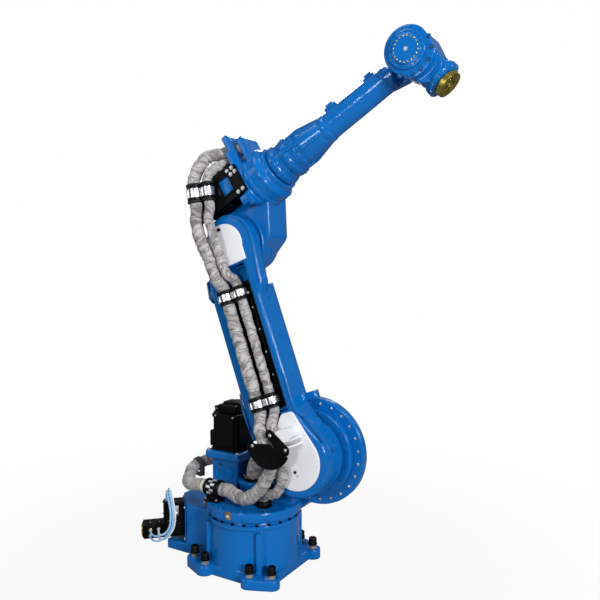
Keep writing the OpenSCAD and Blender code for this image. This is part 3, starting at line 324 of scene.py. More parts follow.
SLOT_MATERIAL = {
    "blue_paint": CAST, "white_cover": WHITE, "grey_cloth": CLOTH, "black_metal": BLACK,
    "bright_steel": STEEL, "yellow_plating": BRASS, "blue_tube": TUBE_BLUE, "white_tube": TUBE_WHITE,
}
OWN_MATERIAL = {"rim_clips": CLIP, "lower_arm_casting": ROUND}
EDGE_NODES = {
    10: "shoulder_motor elbow_motor", 9: "lower_arm_casting elbow_casting", 7: "base_casting turret_casting",
    8: "turn_gear_housing wrist_casting wrist_motors", 5: "forearm_casting", 3: "hose_gland",
    4: "lower_cover upper_cover guide_bracket connector_hoods shoulder_reducer", 2.5: "wrist_cover",
    2: "hose_guide connector_panel riser_ring", 1.5: "clamp_bracket tool_flange",
    1.2: "channel_plate rim_clips", 1: "air_fittings",
}


def modifier(o, name, kind, **values):
    m = o.modifiers.new(name, kind)
    for k, v in values.items():
        setattr(m, k, v)


for row in frame["record"]["subparts"]:
    mats = frame["nodes"][row["node"]].data.materials
    mats.clear()
    mats.append(OWN_MATERIAL.get(row["node"], SLOT_MATERIAL[row["material_slot"]]))
# rounded edges on the solids, by modifiers only; widths in millimetres
for width, names in EDGE_NODES.items():
    for name in names.split():
        o = frame["nodes"][name]
        modifier(o, "join", "WELD", merge_threshold=0.00002)
        modifier(o, "planes", "DECIMATE", decimate_type="DISSOLVE", angle_limit=radians(1.5))
        modifier(o, "edges", "BEVEL", width=width * MM, segments=3, limit_method="ANGLE",
                 angle_limit=radians(38), use_clamp_overlap=True, miter_outer="MITER_ARC")
        modifier(o, "shading", "WEIGHTED_NORMAL", keep_sharp=True, weight=80)


# mesh building
def place(name, data):
    o = bpy.data.objects.new(name, data)
    bpy.context.scene.collection.objects.link(o)
    return o


class Batch:
    """Collects solids into one piece, in millimetres. main is the material where none is given."""

    def __init__(self, name, body, slot, main):
        self.name, self.body, self.slot, self.mats = name, body, slot, [main]
        self.verts, self.faces, self.kinds, self.smooth = [], [], [], []

    def add(self, verts, faces, mat, smooth=False):
        n = len(self.verts)
        mat = mat or self.mats[0]
        if mat not in self.mats:
            self.mats.append(mat)
        self.verts.extend(verts)
        self.faces.extend([[i + n for i in face] for face in faces])
        self.kinds.extend([self.mats.index(mat)] * len(faces))
        self.smooth.extend([smooth] * len(faces))

    def take(self, m, bm, mat):
        """Adds an edited solid, placed by frame m."""
        bm.verts.index_update()
        self.add([at(m, v.co) for v in bm.verts], [[v.index for v in f.verts] for f in bm.faces], mat, True)
        bm.free()

    def lathe(self, m, profile, mat=None, sides=24, flat=False):
        """(radius, height) pairs turned about z of frame m; the first and the last may have radius 0."""
        verts, faces, rows = [], [], []
        for r, h in profile:
            count = sides if r > 0 else 1
            rows.append(range(len(verts), len(verts) + count))
            for k in range(count):
                a = 2 * pi * (k + 0.5) / sides
                verts.append(at(m, (r * cos(a), r * sin(a), h)))
        for p, q in zip(rows, rows[1:]):
            for k in range(sides):
                n = (k + 1) % sides
                corners = [p[k % len(p)], p[n % len(p)], q[n % len(q)], q[k % len(q)]]
                faces.append(list(dict.fromkeys(corners)))
        self.add(verts, faces, mat, not flat)

    def solid(self, m, profile, mat=None, sides=24, flat=False):
        """A turned form that is closed at both ends."""
        self.lathe(m, [(0, profile[0][1]), *profile, (0, profile[-1][1])], mat, sides, flat)

    def box(self, m, low, high, bevel, mat=None, segments=2):
        bm = bmesh.new()
        bmesh.ops.create_cube(bm, size=1.0)
        size = [h - l for l, h in zip(low, high)]
        for v in bm.verts:
            v.co = [v.co[i] * size[i] + (low[i] + high[i]) / 2 for i in range(3)]
        bmesh.ops.bevel(bm, geom=bm.edges[:], offset=min(bevel, min(size) * 0.45), segments=segments,
                        affect="EDGES", profile=0.6)
        self.take(m, bm, mat)

    def boxes(self, m, *rows):
        for row in rows:
            self.box(m, *row)

    def prism(self, m, outline, low, high, bevel, mat=None):
        """A flat outline (x, z) made solid between two y values, with its rim edges broken."""
        bm = bmesh.new()
        lower = [bm.verts.new((x, low, z)) for x, z in outline]
        upper = [bm.verts.new((x, high, z)) for x, z in outline]
        bm.faces.new(lower)
        bm.faces.new(upper[::-1])
        n = len(outline)
        for i in range(n):
            bm.faces.new([lower[i], upper[i], upper[(i + 1) % n], lower[(i + 1) % n]])
        bmesh.ops.recalc_face_normals(bm, faces=bm.faces[:])
        rim = [e for e in bm.edges if abs(e.verts[0].co.y - e.verts[1].co.y) < 1e-6]
        bmesh.ops.bevel(bm, geom=rim, offset=bevel, segments=2, affect="EDGES", profile=0.6)
        self.take(m, bm, mat)

    def band(self, m, r_in, r_out, half_l, a0, a1, mat, steps):
        """A strip bent round z of frame m between two angles in degrees."""
        verts, faces = [], []
        for k in range(steps + 1):
            a = radians(a0 + (a1 - a0) * k / steps)
            for r, h in ((r_in, -half_l), (r_out, -half_l), (r_out, half_l), (r_in, half_l)):
                verts.append(at(m, (r * cos(a), r * sin(a), h)))
        for k in range(0, 4 * steps, 4):
            for j in range(4):
                i = (j + 1) % 4
                faces.append([k + j, k + i, k + 4 + i, k + 4 + j])
        faces.append([3, 2, 1, 0])
        faces.append([4 * steps + j for j in range(4)])
        self.add(verts, faces, mat)

    def bolt(self, m, r, h, mat=None):
        """A socket-head screw that stands on z = 0 of frame m."""
        depth = h * 0.55
        self.solid(m, [(r, 0), (r, h * 0.86), (r * 0.88, h), (r * 0.56, h), (r * 0.52, h - depth)], mat, 20)

    def hexbolt(self, m, r, h, mat=None, washer=True):
        if washer:
            self.solid(m, [(r * 1.35, 0), (r * 1.35, h * 0.18)], mat, 20, True)
        self.solid(m, [(r, h * 0.18), (r, h * 0.9), (r * 0.88, h)], mat, 6, True)

    def done(self, replaces=()):
        me = bpy.data.meshes.new(self.name)
        me.from_pydata([tuple(float(c) * MM for c in p) for p in self.verts], [], self.faces)
        for mat in self.mats:
            me.materials.append(mat)
        me.polygons.foreach_set("material_index", self.kinds)
        me.polygons.foreach_set("use_smooth", self.smooth)
        me.update()
        bm = bmesh.new()
        bm.from_mesh(me)
        bmesh.ops.recalc_face_normals(bm, faces=bm.faces[:])
        for e in bm.edges:
            e.smooth = len(e.link_faces) == 2 and e.calc_face_angle(0) < radians(40)
        bm.to_mesh(me)
        bm.free()
        o = place(self.name, me)
        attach(o, self.body)
        if replaces:
            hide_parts(*replaces)


# camera, light and floor
camera = bpy.data.cameras.new("camera")
cam = place("camera", camera)
cam.location = (2.034889, -2.909394, 1.632838)
cam.rotation_euler = (radians(86.61), 0, radians(30.98))
camera.sensor_width = 36.0
camera.lens = 39.97
camera.clip_end = 100.0
bpy.context.scene.camera = cam


def area(name, source, target, size, power):
    d = bpy.data.lights.new(name, "AREA")
    d.shape, d.size, d.energy = "DISK", size, power
    o = place(name, d)
    o.location = source
    o.rotation_euler = (Vector(target) - Vector(source)).to_track_quat("-Z", "Y").to_euler()


area("key", (6.3, -3.4, 3.3), (0.2, 0, 1.4), 2.0, 500)
area("fill", (-3.6, -3.2, 2.8), (0, 0, 1.2), 2.4, 28)
area("back", (-1.2, 3.8, 4.2), (0.2, 0, 1.4), 2.4, 140)
area("top", (-0.6, -1.2, 5.4), (0.2, 0, 1.0), 1.8, 45)
area("front", (-0.2, -6.8, 2.5), (0.2, 0, 1.5), 1.5, 130)

world = bpy.data.worlds.new("studio")
bpy.context.scene.world = world
world.use_nodes = True
background = world.node_tree.nodes["Background"]
background.inputs["Color"].default_value = (1, 1, 1, 1)
link(world, remap(world, camera_ray(world), 0.0, 1.0, 0.19, 1.0), background.inputs["Strength"])

floor_me = bpy.data.meshes.new("floor")
floor_me.from_pydata([(-40, -40, 0), (40, -40, 0), (40, 40, 0), (-40, 40, 0)], [], [(0, 1, 2, 3)])
floor = place("floor", floor_me)
pale = bpy.data.materials.new("pale_floor")
pale.use_nodes = True
pale.node_tree.nodes.remove(pale.node_tree.nodes["Principled BSDF"])
matt = node(pale, "ShaderNodeBsdfDiffuse", Color=(0.3, 0.3, 0.3, 1))
glow = node(pale, "ShaderNodeEmission")
away = node(pale, "ShaderNodeVectorMath", operation="LENGTH")
link(pale, node(pale, "ShaderNodeNewGeometry").outputs["Position"], away.inputs[0])
fade = remap(pale, away.outputs["Value"], 0.9, 2.6, 0.92, 1.0)
mixer = node(pale, "ShaderNodeMixShader")
link(pale, calculate(pale, "MULTIPLY", camera_ray(pale), fade).outputs[0], mixer.inputs["Fac"])
link(pale, matt.outputs["BSDF"], mixer.inputs[1])
link(pale, glow.outputs["Emission"], mixer.inputs[2])
link(pale, mixer.outputs["Shader"], pale.node_tree.nodes["Material Output"].inputs["Surface"])
floor_me.materials.append(pale)

# air tubes, free cords; points in the frame of the connector panel
TUBE_ROUTES = [
    [[-61, 150, 116], [-84, 151, 116], [-106, 149, 117], [-132, 134, 123], [-155, 111, 139], [-167, 90, 167],
     [-169, 74, 199], [-165, 67, 233], [-155, 66, 272], [-139, 70, 307], [-115, 75, 335], [-86, 79, 353],
     [-54, 80, 359], [-26, 80, 346], [-3, 79, 316], [-3, 79, 289]],
    [[-61, 194, 116], [-84, 193, 116], [-121, 179, 117], [-151, 155, 126], [-172, 126, 144], [-181, 101, 172],
     [-182, 84, 204], [-178, 78, 238], [-167, 76, 278], [-150, 80, 315], [-124, 85, 345], [-90, 90, 365],
     [-53, 91, 372], [-19, 92, 356], [9, 93, 321], [9, 93, 289]],
    [[-61, 150, 148], [-84, 151, 146], [-103, 149, 143], [-125, 137, 146], [-144, 118, 156], [-155, 99, 176],
     [-158, 86, 204], [-154, 80, 234], [-145, 80, 270], [-130, 84, 301], [-108, 89, 327], [-82, 92, 343],
     [-55, 93, 348], [-33, 92, 336], [-17, 91, 311], [-17, 91, 289]],
    [[-61, 194, 148], [-84, 193, 146], [-118, 179, 143], [-144, 158, 149], [-161, 133, 161], [-169, 110, 181],
     [-171, 96, 209], [-167, 91, 239], [-157, 90, 276], [-141, 94, 309], [-117, 99, 337], [-86, 103, 355],
     [-54, 104, 361], [-26, 104, 346], [-5, 105, 316], [-5, 105, 289]],
]


def smooth_route(p, steps):
    """Catmull-Rom points through a route, as the solids use."""
    p = [np.array(q, float) for q in p]
    out = []
    for i in range(len(p) - 1):
        a, b, c, d = p[max(i - 1, 0)], p[i], p[i + 1], p[min(i + 2, len(p) - 1)]
        for k in range(steps):
            t = k / steps
            out.append(0.5 * (2 * b + (c - a) * t + (2 * a - 5 * b + 4 * c - d) * t * t
                              + (3 * b - a - 3 * c + d) * t ** 3))
    out.append(p[-1])
    return np.array(out)


def tube_curve(name, route, mat, replaced):
    pts = np.array([at(PANEL, q) for q in smooth_route(route, 4)]) * MM
    cu = bpy.data.curves.new(name, "CURVE")
    cu.dimensions = "3D"
    sp = cu.splines.new("POLY")
    sp.points.add(len(pts) - 1)
    for s, q in zip(sp.points, pts):
        s.co = (*q, 1)
    cu.bevel_depth = TUBE_D / 2 * MM
    cu.bevel_resolution = 5
    cu.use_fill_caps = True
    cu.materials.append(mat)
    o = place(name, cu)
    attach(o, "base")
    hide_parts(replaced)
    length = float(length_of(np.diff(pts, axis=0), axis=1).sum())


for k, route in enumerate(TUBE_ROUTES):
    color, mat = (("white", TUBE_WHITE), ("blue", TUBE_BLUE))[k % 2]
    tube_curve(f"air_tube_{k + 1}", route, mat, f"{color}_tubes")


# routes of the jacketed hoses
def arm_run(outside, inside):
    """Along the arm: from the guide into the channel, through two clamps and out again."""
    shares = [0, 0.06, 0.3, 0.7, 0.94]
    n = len(shares)
    outside, inside = np.array(outside, float), np.array(inside, float)
    steps = [outside + (inside - outside) * share for share in shares]
    low_end, high_end = LOW_CLAMP - ARM_CLAMP_L / 2, HIGH_CLAMP + ARM_CLAMP_L / 2
    pts = [[*outside, GUIDE_LOW], [*outside, (GUIDE_LOW + ENTER_Z) / 2]]
    pts += [[*steps[k], ENTER_Z + (low_end - ENTER_Z) * k / n] for k in range(n)]
    pts += [[*inside, z] for z in (low_end, LOW_CLAMP, LOW_CLAMP + ARM_CLAMP_L / 2)]
    pts += [[*inside, LOW_CLAMP + (HIGH_CLAMP - LOW_CLAMP) * k / 4] for k in (1, 2, 3)]
    pts += [[*inside, z] for z in (HIGH_CLAMP - ARM_CLAMP_L / 2, HIGH_CLAMP, high_end)]
    pts += [[*steps[k], LEAVE_Z - (LEAVE_Z - high_end) * k / n] for k in range(n - 1, -1, -1)]
    pts += [[*outside, ARM_END]]
    return pts


def loop_run(x, y, elbow_y, bow, pitch):
    """Round the elbow: from the end of the arm's run to the elbow clamp."""
    return [
        low((x, y, ARM_END + FIT)), low((x, y, ARM_END + HOSE_R)),
        low((x + bow, elbow_y, LOWER_LEN + LOOP_LOW)), low((x + bow, elbow_y, LOWER_LEN + LOOP_HIGH)),
        clamp_at((pitch, elbow_y, -END - HOSE_R)), clamp_at((pitch, elbow_y, -END - FIT)),
    ]


def below(run, distance):
    """Point under the lower end of an arm run."""
    return low(np.array(run[0]) - [0, 0, distance])


LARGE_RUN = arm_run((HOSE_OUT_X, OUT_Y), (HOSE_IN_X, IN_Y))
SMALL_RUN = arm_run((SMALL_OUT_X, SMALL_OUT_Y), (SMALL_IN_X, SMALL_IN_Y))
END_X, END_Y, END_Z = low(LARGE_RUN[0])
KNEE_LOW = CLAMP_Z - HOSE_R / 3
KNEE_LARGE = [
    (CLAMP_X + CLAMP_L / 2 + FIT, CLAMP_Y, CLAMP_Z), (CLAMP_X + CLAMP_L, CLAMP_Y, CLAMP_Z),
    (0, (2 * CLAMP_Y + END_Y) / 3, KNEE_LOW), (END_X - 4.2 * HOSE_R, END_Y, KNEE_LOW),
    (END_X - 2 * HOSE_R, END_Y, KNEE_LOW + 1.6 * HOSE_R),
    (END_X - HOSE_R / 2, END_Y, (KNEE_LOW + END_Z) / 2),
    below(LARGE_RUN, 1.5 * HOSE_R), below(LARGE_RUN, FIT),
]
SMALL_X, SMALL_Y, SMALL_Z = low(SMALL_RUN[0])
START = PLATE_Z + GLAND_H / 2 + FIT
KNEE_SMALL = [
    *[(GLAND_X, GLAND_Y, START + k * GLAND_H) for k in (0, 1, 1.5)],
    (GLAND_X + SMALL_R, (2 * GLAND_Y + SMALL_Y) / 3, START + 2.5 * SMALL_R),
    (SMALL_X - SMALL_R, (GLAND_Y + 5 * SMALL_Y) / 6, (2 * START + SMALL_Z) / 3),
    (SMALL_X + SMALL_R, SMALL_Y, (START + 2 * SMALL_Z) / 3),
    below(SMALL_RUN, 1.5 * SMALL_R), below(SMALL_RUN, FIT),
]
END = ELBOW_CLAMP_L / 2
LOOP_BOW, LOOP_LOW, LOOP_HIGH = 8, 40, 150
LOOP_LARGE = loop_run(HOSE_OUT_X, OUT_Y, ELBOW_OUT_Y, -LOOP_BOW, 0)
LOOP_SMALL = loop_run(SMALL_OUT_X, SMALL_OUT_Y, ELBOW_SMALL_Y, LOOP_BOW, HOSE_PITCH)
ELBOW_LARGE = [clamp_at((0, ELBOW_OUT_Y, z)) for z in (-END, 0, END, END + HOSE_R / 2)] + [
    fore((ENTRY_U - 4.8 * HOSE_R, (7 * ELBOW_OUT_Y + ENTRY_Y) / 8, ENTRY_V - HOSE_R)),
    fore((ENTRY_U - 3.2 * HOSE_R, (2 * ELBOW_OUT_Y + ENTRY_Y) / 3, ENTRY_V)),
    fore((ENTRY_U - 1.8 * HOSE_R, (ELBOW_OUT_Y + 4 * ENTRY_Y) / 5, ENTRY_V)),
    fore((ENTRY_U - 0.6 * HOSE_R, ENTRY_Y, ENTRY_V)), fore((ENTRY_U - FIT, ENTRY_Y, ENTRY_V)),
]
ELBOW_SMALL = [clamp_at((HOSE_PITCH, ELBOW_SMALL_Y, z)) for z in (-END, 0, END, END + SMALL_R / 2)] + [
    clamp_at((HOSE_PITCH + SMALL_R / 3, (8 * ELBOW_SMALL_Y + SMALL_ENTRY_Y) / 9, END + 1.6 * SMALL_R)),
    fore((WALL_U - 2.8 * SMALL_R, (ELBOW_SMALL_Y + SMALL_ENTRY_Y) / 2, SMALL_ENTRY_V)),
    fore((WALL_U - SMALL_R, SMALL_ENTRY_Y, SMALL_ENTRY_V)),
    fore((WALL_U - FIT, SMALL_ENTRY_Y, SMALL_ENTRY_V)),
]
TURRET_ROUTE = [
    (WALL_REAR - FIT, LOOP_END_Y, LOOP_END_Z), (WALL_REAR - 3 * HOSE_R, LOOP_END_Y, LOOP_END_Z),
    (HOUSING_X - HOUSING_W / 2, LOOP_END_Y - HOSE_R / 5, LOOP_END_Z),
    (HOSE_R - LOOP_REAR, (LOOP_END_Y + HOUSING_Y) / 2 - HOSE_R, (2 * LOOP_END_Z + CLAMP_Z) / 3),
    (-LOOP_REAR, -HOSE_R / 4, (LOOP_END_Z + 3 * CLAMP_Z) / 4),
    (HOSE_R - LOOP_REAR, CLAMP_Y / 2, CLAMP_Z - HOSE_R / 3),
    (3 * HOSE_R - LOOP_REAR, CLAMP_Y + HOSE_R / 8, CLAMP_Z - HOSE_R / 4),
    *[(CLAMP_X + k * CLAMP_L, CLAMP_Y, CLAMP_Z) for k in (-1, -0.5, 0.5)],
]
REACH = WALL_NEAR - BOSS_Y
RISER = [(BOSS_X, BOSS_Y + y, BOSS_TOP + z) for y, z in (
    (0, FIT), (0, RING_T), (0, 2 * RING_T), (REACH / 8, REACH * 3 / 4), (REACH * 2 / 5, REACH),
    (REACH * 4 / 5, REACH * 9 / 8), (REACH - FIT, REACH * 9 / 8),
)]


# jacketed hoses
def value_noise(seed, rows, cols, s, a):
    """Smooth noise over length s (in cells) and angle a (0..1, closed)."""
    grid = np.random.default_rng(seed).uniform(-1, 1, (rows, cols))
    i = np.floor(s).astype(int)
    fs = s - i
    x = a * cols
    j = np.floor(x).astype(int)
    fa = x - j
    fs, fa = fs * fs * (3 - 2 * fs), fa * fa * (3 - 2 * fa)
    pair = [grid[i % rows, q % cols] * (1 - fs) + grid[(i + 1) % rows, q % cols] * fs for q in (j, j + 1)]
    return pair[0] * (1 - fa) + pair[1] * fa


def length_along(points):
    return np.concatenate([[0], np.cumsum(length_of(np.diff(points, axis=0), axis=1))])


def jacket(name, route, r, body, replaced, seed, calm=(), sides=40, blend=None, lift=1.0, shade=0.0):
    """A wrinkled cloth sleeve along a route. calm: (from, to) lengths in mm that a clamp holds smooth."""
    dense = smooth_route(route, 24)
    run = length_along(dense)
    rows = max(8, int(run[-1] / 4.0))
    s = np.linspace(0, run[-1], rows + 1)
    centre = np.stack([np.interp(s, run, dense[:, k]) for k in range(3)], 1)
    along = np.gradient(centre, axis=0)
    along[0], along[-1] = np.array(route[1]) - np.array(route[0]), np.array(route[-1]) - np.array(route[-2])
    along /= length_of(along, axis=1)[:, None]
    u = np.cross(along[0], (0.31, 0.87, 0.38))
    across = []
    for t in along:
        u = u - t * (u @ t)
        u /= length_of(u)
        across.append(u.copy())
    across = np.array(across)
    up = np.cross(along, across)
    share, length = np.meshgrid(np.arange(sides) / sides, s)
    angle = 2 * np.pi * share
    outward = np.cos(angle)[..., None] * across[:, None, :] + np.sin(angle)[..., None] * up[:, None, :]
    # folds of several sizes, as shares of the radius
    bent_share = (share + value_noise(seed + 1, 97, 5, length / 60, share) * 0.10) % 1.0
    tilt = np.cos(angle + length / 70 + seed)
    bent = length + 14 * value_noise(seed + 2, 97, 4, length / 70, share) + 9 * tilt
    big = value_noise(seed + 3, 211, 4, bent / 58, bent_share)
    mid = 1 - 2 * np.abs(value_noise(seed + 4, 211, 3, bent / 30, bent_share))
    fine = 1 - 2 * np.abs(value_noise(seed + 5, 307, 4, bent / 16, bent_share))
    bulge = value_noise(seed + 6, 61, 1, length / 85, share * 0)
    h = 0.050 * big + 0.105 * (mid - 0.25) + 0.045 * (fine - 0.1) + 0.030 * bulge - 0.02
    # cloth gathers on the inside of a bend
    curve = np.gradient(along, axis=0) / np.maximum(np.gradient(s), 1e-6)[:, None]
    gather = np.clip((curve[:, None, :] * outward).sum(2) * r * 1.6, 0, 1)
    h += gather * 0.055 * value_noise(seed + 7, 401, 3, length / 9, bent_share)
    still = np.zeros(len(s))
    for start, end in calm:
        still = np.maximum(still, np.clip(1 - np.maximum(start - s, s - end) / 14, 0, 1))
    edge = np.clip(np.minimum(s, run[-1] - s) / 10, 0, 1)
    h = np.clip(h, -0.17, 0.075) * lift * (1 - still)[:, None] * (0.35 + 0.65 * edge)[:, None]
    h = h - 0.015 * still[:, None]
    verts = (centre[:, None, :] + (r * (1 + h))[..., None] * outward).reshape(-1, 3)
    last = rows * sides
    pairs = [(j, (j + 1) % sides) for j in range(sides)]
    faces = [(k + j, k + q, k + sides + q, k + sides + j) for k in range(0, last, sides) for j, q in pairs]
    faces.append(tuple(range(sides))[::-1])
    faces.append(tuple(range(last, last + sides)))
    me = bpy.data.meshes.new(name)
    me.from_pydata([tuple(p) for p in verts * MM], [], faces)
    me.materials.append(CLOTH)
    # painted shade: inward folds of the cloth are darkened, and the whole sleeve by shade
    fold_shade = np.clip(np.clip(-0.15 - h * 7.5, 0, 0.8) + shade, 0, 0.9)
    me.attributes.new("fold_shade", "FLOAT", "POINT").data.foreach_set("value", fold_shade.ravel().astype(np.float32))
    wrap = np.stack([length / 10 + 1.2 * tilt + seed, 1.1 * np.cos(angle), 1.1 * np.sin(angle)], 2)
    sleeve = me.attributes.new("sleeve", "FLOAT_VECTOR", "POINT")
    sleeve.data.foreach_set("vector", wrap.ravel().astype(np.float32))
    me.polygons.foreach_set("use_smooth", [True] * len(faces))
    me.update()
    o = place(name, me)
    if blend:
        a, b, start, end = blend
        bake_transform(o)
    else:
        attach(o, body)
    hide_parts(replaced)


def bending(name, route, r, replaced, seed, bodies, first=1, **more):
    """A sleeve that runs between two bodies, held fixed and joined to neither; bodies and first are not used.
    """
    jacket(name, route, r, None, replaced, seed, blend=(*bodies, route[first], route[-2]), **more)


ARM_CLAMPS = [(232, 312), (800, 880)]
KNEE, LOOP = ("turret", "lower_arm"), ("lower_arm", "elbow")
jacket("jacket_arm_large", [low(p) for p in LARGE_RUN], HOSE_R, "lower_arm", "arm_hose_large", 11, ARM_CLAMPS)
jacket("jacket_arm_small", [low(p) for p in SMALL_RUN], SMALL_R, "lower_arm", "arm_hose_small", 23,
       ARM_CLAMPS, 32)
# shade darkens the colour of the low hoses: painted shade
bending("jacket_knee_large", KNEE_LARGE, HOSE_R, "knee_hose_large", 37, KNEE, shade=0.34)
bending("jacket_knee_small", KNEE_SMALL, SMALL_R, "knee_hose_small", 41, KNEE, 2, calm=[(0, 16)], sides=32,
        shade=0.34)
bending("jacket_loop_large", LOOP_LARGE, HOSE_R, "loop_hose_large", 53, LOOP)
bending("jacket_loop_small", LOOP_SMALL, SMALL_R, "loop_hose_small", 67, LOOP, sides=32)
jacket("jacket_elbow_large", ELBOW_LARGE, HOSE_R, "elbow", "elbow_hose_large", 71, [(0, 100)])
jacket("jacket_elbow_small", ELBOW_SMALL, SMALL_R, "elbow", "elbow_hose_small", 83, [(0, 100)], 32)
jacket("jacket_turret", TURRET_ROUTE, HOSE_R, "turret", "turret_hose", 97, [(640, 900)], shade=0.42)
jacket("jacket_riser", RISER, RISER_R, "turret", "riser_sleeve", 101, [(0, 18)], lift=0.8, shade=0.42)


# fastenings and small forms, one piece or more for each body
def ring(b, m, radius, count, r, h, mat=None, start=0.0, hexagon=False):
    """Screw heads on a circle round z of frame m."""
    for k in range(count):
        a = radians(start + 360.0 * k / count)
        f = m @ shift(radius * cos(a), radius * sin(a), 0)
        if hexagon:
            b.hexbolt(f, r, h, mat)
        else:
            b.bolt(f, r, h, mat)


def radial_ring(b, m, radius, count, r, h, start=0.0):
    """Blue screw heads that stand out of a drum, round z of frame m."""
    for k in range(count):
        b.hexbolt(m @ turn_z(start + 360.0 * k / count) @ shift(radius, 0, 0) @ turn_y(90), r, h, BLUE)


def route_frame(route, share):
    """Frame on a route, z along it, at a share of its length."""
    dense = smooth_route(route, 24)
    s = length_along(dense)
    k = int(np.clip(np.searchsorted(s, share * s[-1]), 1, len(dense) - 2))
    z = dense[k + 1] - dense[k - 1]
    z /= length_of(z)
    x = np.cross((0, 0, 1.0), z)
    x /= length_of(x)
    m = np.eye(4)
    m[:3, 0], m[:3, 1], m[:3, 2], m[:3, 3] = x, np.cross(z, x), z, dense[k]
    return m


def collar(b, m, r, half, wall, mat=None, sides=40):
    """A soft-edged ring round z of frame m."""
    e = min(wall, half) * 0.45
    b.lathe(m, [(r, -half), (r + wall - e, -half), (r + wall, -half + e), (r + wall, half - e),
                (r + wall - e, half), (r, half)], mat, sides)
    b.lathe(m, [(r, -half), (r, half)], mat, sides)


# base
ANCHORS = [(sx * x, sy * y) for x, y in ((246, 206), (142, 250)) for sx, sy in CORNERS[::-1]]
b = Batch("base_fastenings", "base", "black_metal", BLACK)
b.lathe(WORLD, [(236, 264), (250, 264), (253, 267), (253, 285), (250, 288), (236, 288)], BLUE, 96)
ring(b, shift(0, 0, 288), 246, 24, 6, 9, BLACK, 7.5, True)
for x, y in ANCHORS:
    b.lathe(shift(x, y, FOOT_TOP), [(19, -1), (40, -1), (38.5, 3.5), (19, 3.5)], BLUE, 40)
b.done()

b = Batch("anchor_bolt_set", "base", "black_metal", BLACK)
for x, y in ANCHORS:
    f = shift(x, y, FOOT_TOP)
    b.solid(f, [(21, 0), (21, 4), (17, 5), (17, 14), (18.5, 16), (18.5, 26)], TURNED, 32)
    b.solid(f, [(24, 22), (25, 24), (25, 30), (23, 32), (22, 34), (22, 57), (20, 60), (12.5, 60),
                (11.5, 50)], BLACK, 32)
    b.solid(f, [(12, -44), (12, 0)], TURNED)
b.done(["anchor_bolts", "bolt_collars"])

# connector side
b = Batch("connector_details", "base", "black_metal", BLACK)
for x in (-78, 78):
    for z in (92, 268):
        b.bolt(facing(PANEL, (x, 8, z), "+y"), 6, 5, STEEL)
for x, outer, axis in ((-41.5, -41.5, "-x"), (35, 41.5, "+x")):
    b.box(PANEL, (x, 40, 214), (x + 6.5, 66, 268), 2.5, STEEL)
    b.solid(facing(PANEL, (outer, 53, 226), axis), [(8, 0), (8, 4), (5, 6)], STEEL, 20)
b.solid(PANEL @ shift(-4, 92, 284), [(33, 0), (33, 5), (29, 9), (26, 9), (24, 4.6)], RUBBER, 40)
b.box(PANEL, (-34, 112, 200), (34, 121, 276), 4)
for x, z in ((-28, 206), (28, 206), (-28, 270), (28, 270)):
    b.bolt(facing(PANEL, (x, 121, z), "+y"), 4, 4, STEEL)
for y in (30, 78, 126, 174):
    b.box(PANEL, (-45, y, 99), (53, y + 40, 171), 4)
    b.box(PANEL, (-30, y + 6, 170), (38, y + 34, 178), 3)
    for x in (-20, 28):
        b.bolt(PANEL @ shift(x, y + 20, 178), 4, 3, STEEL)
b.box(PANEL, (-36, 226, 104), (44, 238, 166), 4)
socket = [(8, 0), (8, 5), (6, 7), (3.4, 7), (3, 4)]
for z in (118, 150):
    for x in (-20, 6, 30):
        b.solid(facing(PANEL, (x, 236, z), "+y"), socket, BRASS, 18)
for z in (116, 148):
    for y in (150, 194):
        f = facing(PANEL, (-42, y, z), "-x")
        b.solid(f, [(11, 0), (11, 7)], BRASS, 6, True)
        b.lathe(f, [(8, 7), (9, 7.4), (9, 12), (8, 13), (8, 17), (6.4, 18.6), (5.2, 18.6)], STEEL)
b.done()

# turret
b = Batch("turret_fastenings", "turret", "bright_steel", STEEL)
ring(b, near(SHOULDER, 0, FLANGE_Y, 0), 253, 24, 7.5, 5, STEEL, 7.5)
ring(b, near(SHOULDER, 0, 40, 0), 207, 16, 7, 5.5, BLUE, 11.25)
b.lathe(near(SHOULDER, 0, 79, 0), [(262, 0), (279, 0), (281, -2), (281, -6), (279, -8)], BLUE, 120)
ring(b, shift(0, 0, PLATE_Z), 241, 12, 9, 8, BLUE, 18, True)
for a in (-160, -125, -103, -66, -40, -12):
    b.box(turn_z(a), (244, -16, 312), (262, 16, 336), 6, BLUE)
    b.bolt(turn_z(a) @ shift(262, 0, 324) @ turn_y(90), 6, 4, BLUE)
for a in (-141, -86):
    b.hexbolt(turn_z(a) @ shift(266, 0, 338) @ turn_y(90), 6.5, 6)
    b.box(turn_z(a), (257, -11, 355), (267, 11, 359), 1.2, CLIP)
boss, gland = shift(BOSS_X, BOSS_Y, 0), shift(GLAND_X, GLAND_Y, PLATE_Z)
ring(b, boss @ shift(0, 0, BOSS_TOP + RING_T), 58, 8, 5, 5, STEEL, 22.5)
b.lathe(boss, [(83, 356), (98, 356), (92, 362), (88, 372), (85, 388), (83, 396)], BLUE, 64)
b.lathe(boss, [(83, 428), (90, 430), (92, 434), (92, 444), (90, 449), (83, 450)], BLUE, 64)
b.lathe(gland, [(39, 0), (47, 0), (47, 9), (45, 11), (39, 11)], BLACK, 6, True)
b.lathe(gland, [(38, 12), (42, 13), (42, 25), (39, 29), (26, 31), (25.4, 29)], BLACK, 40)
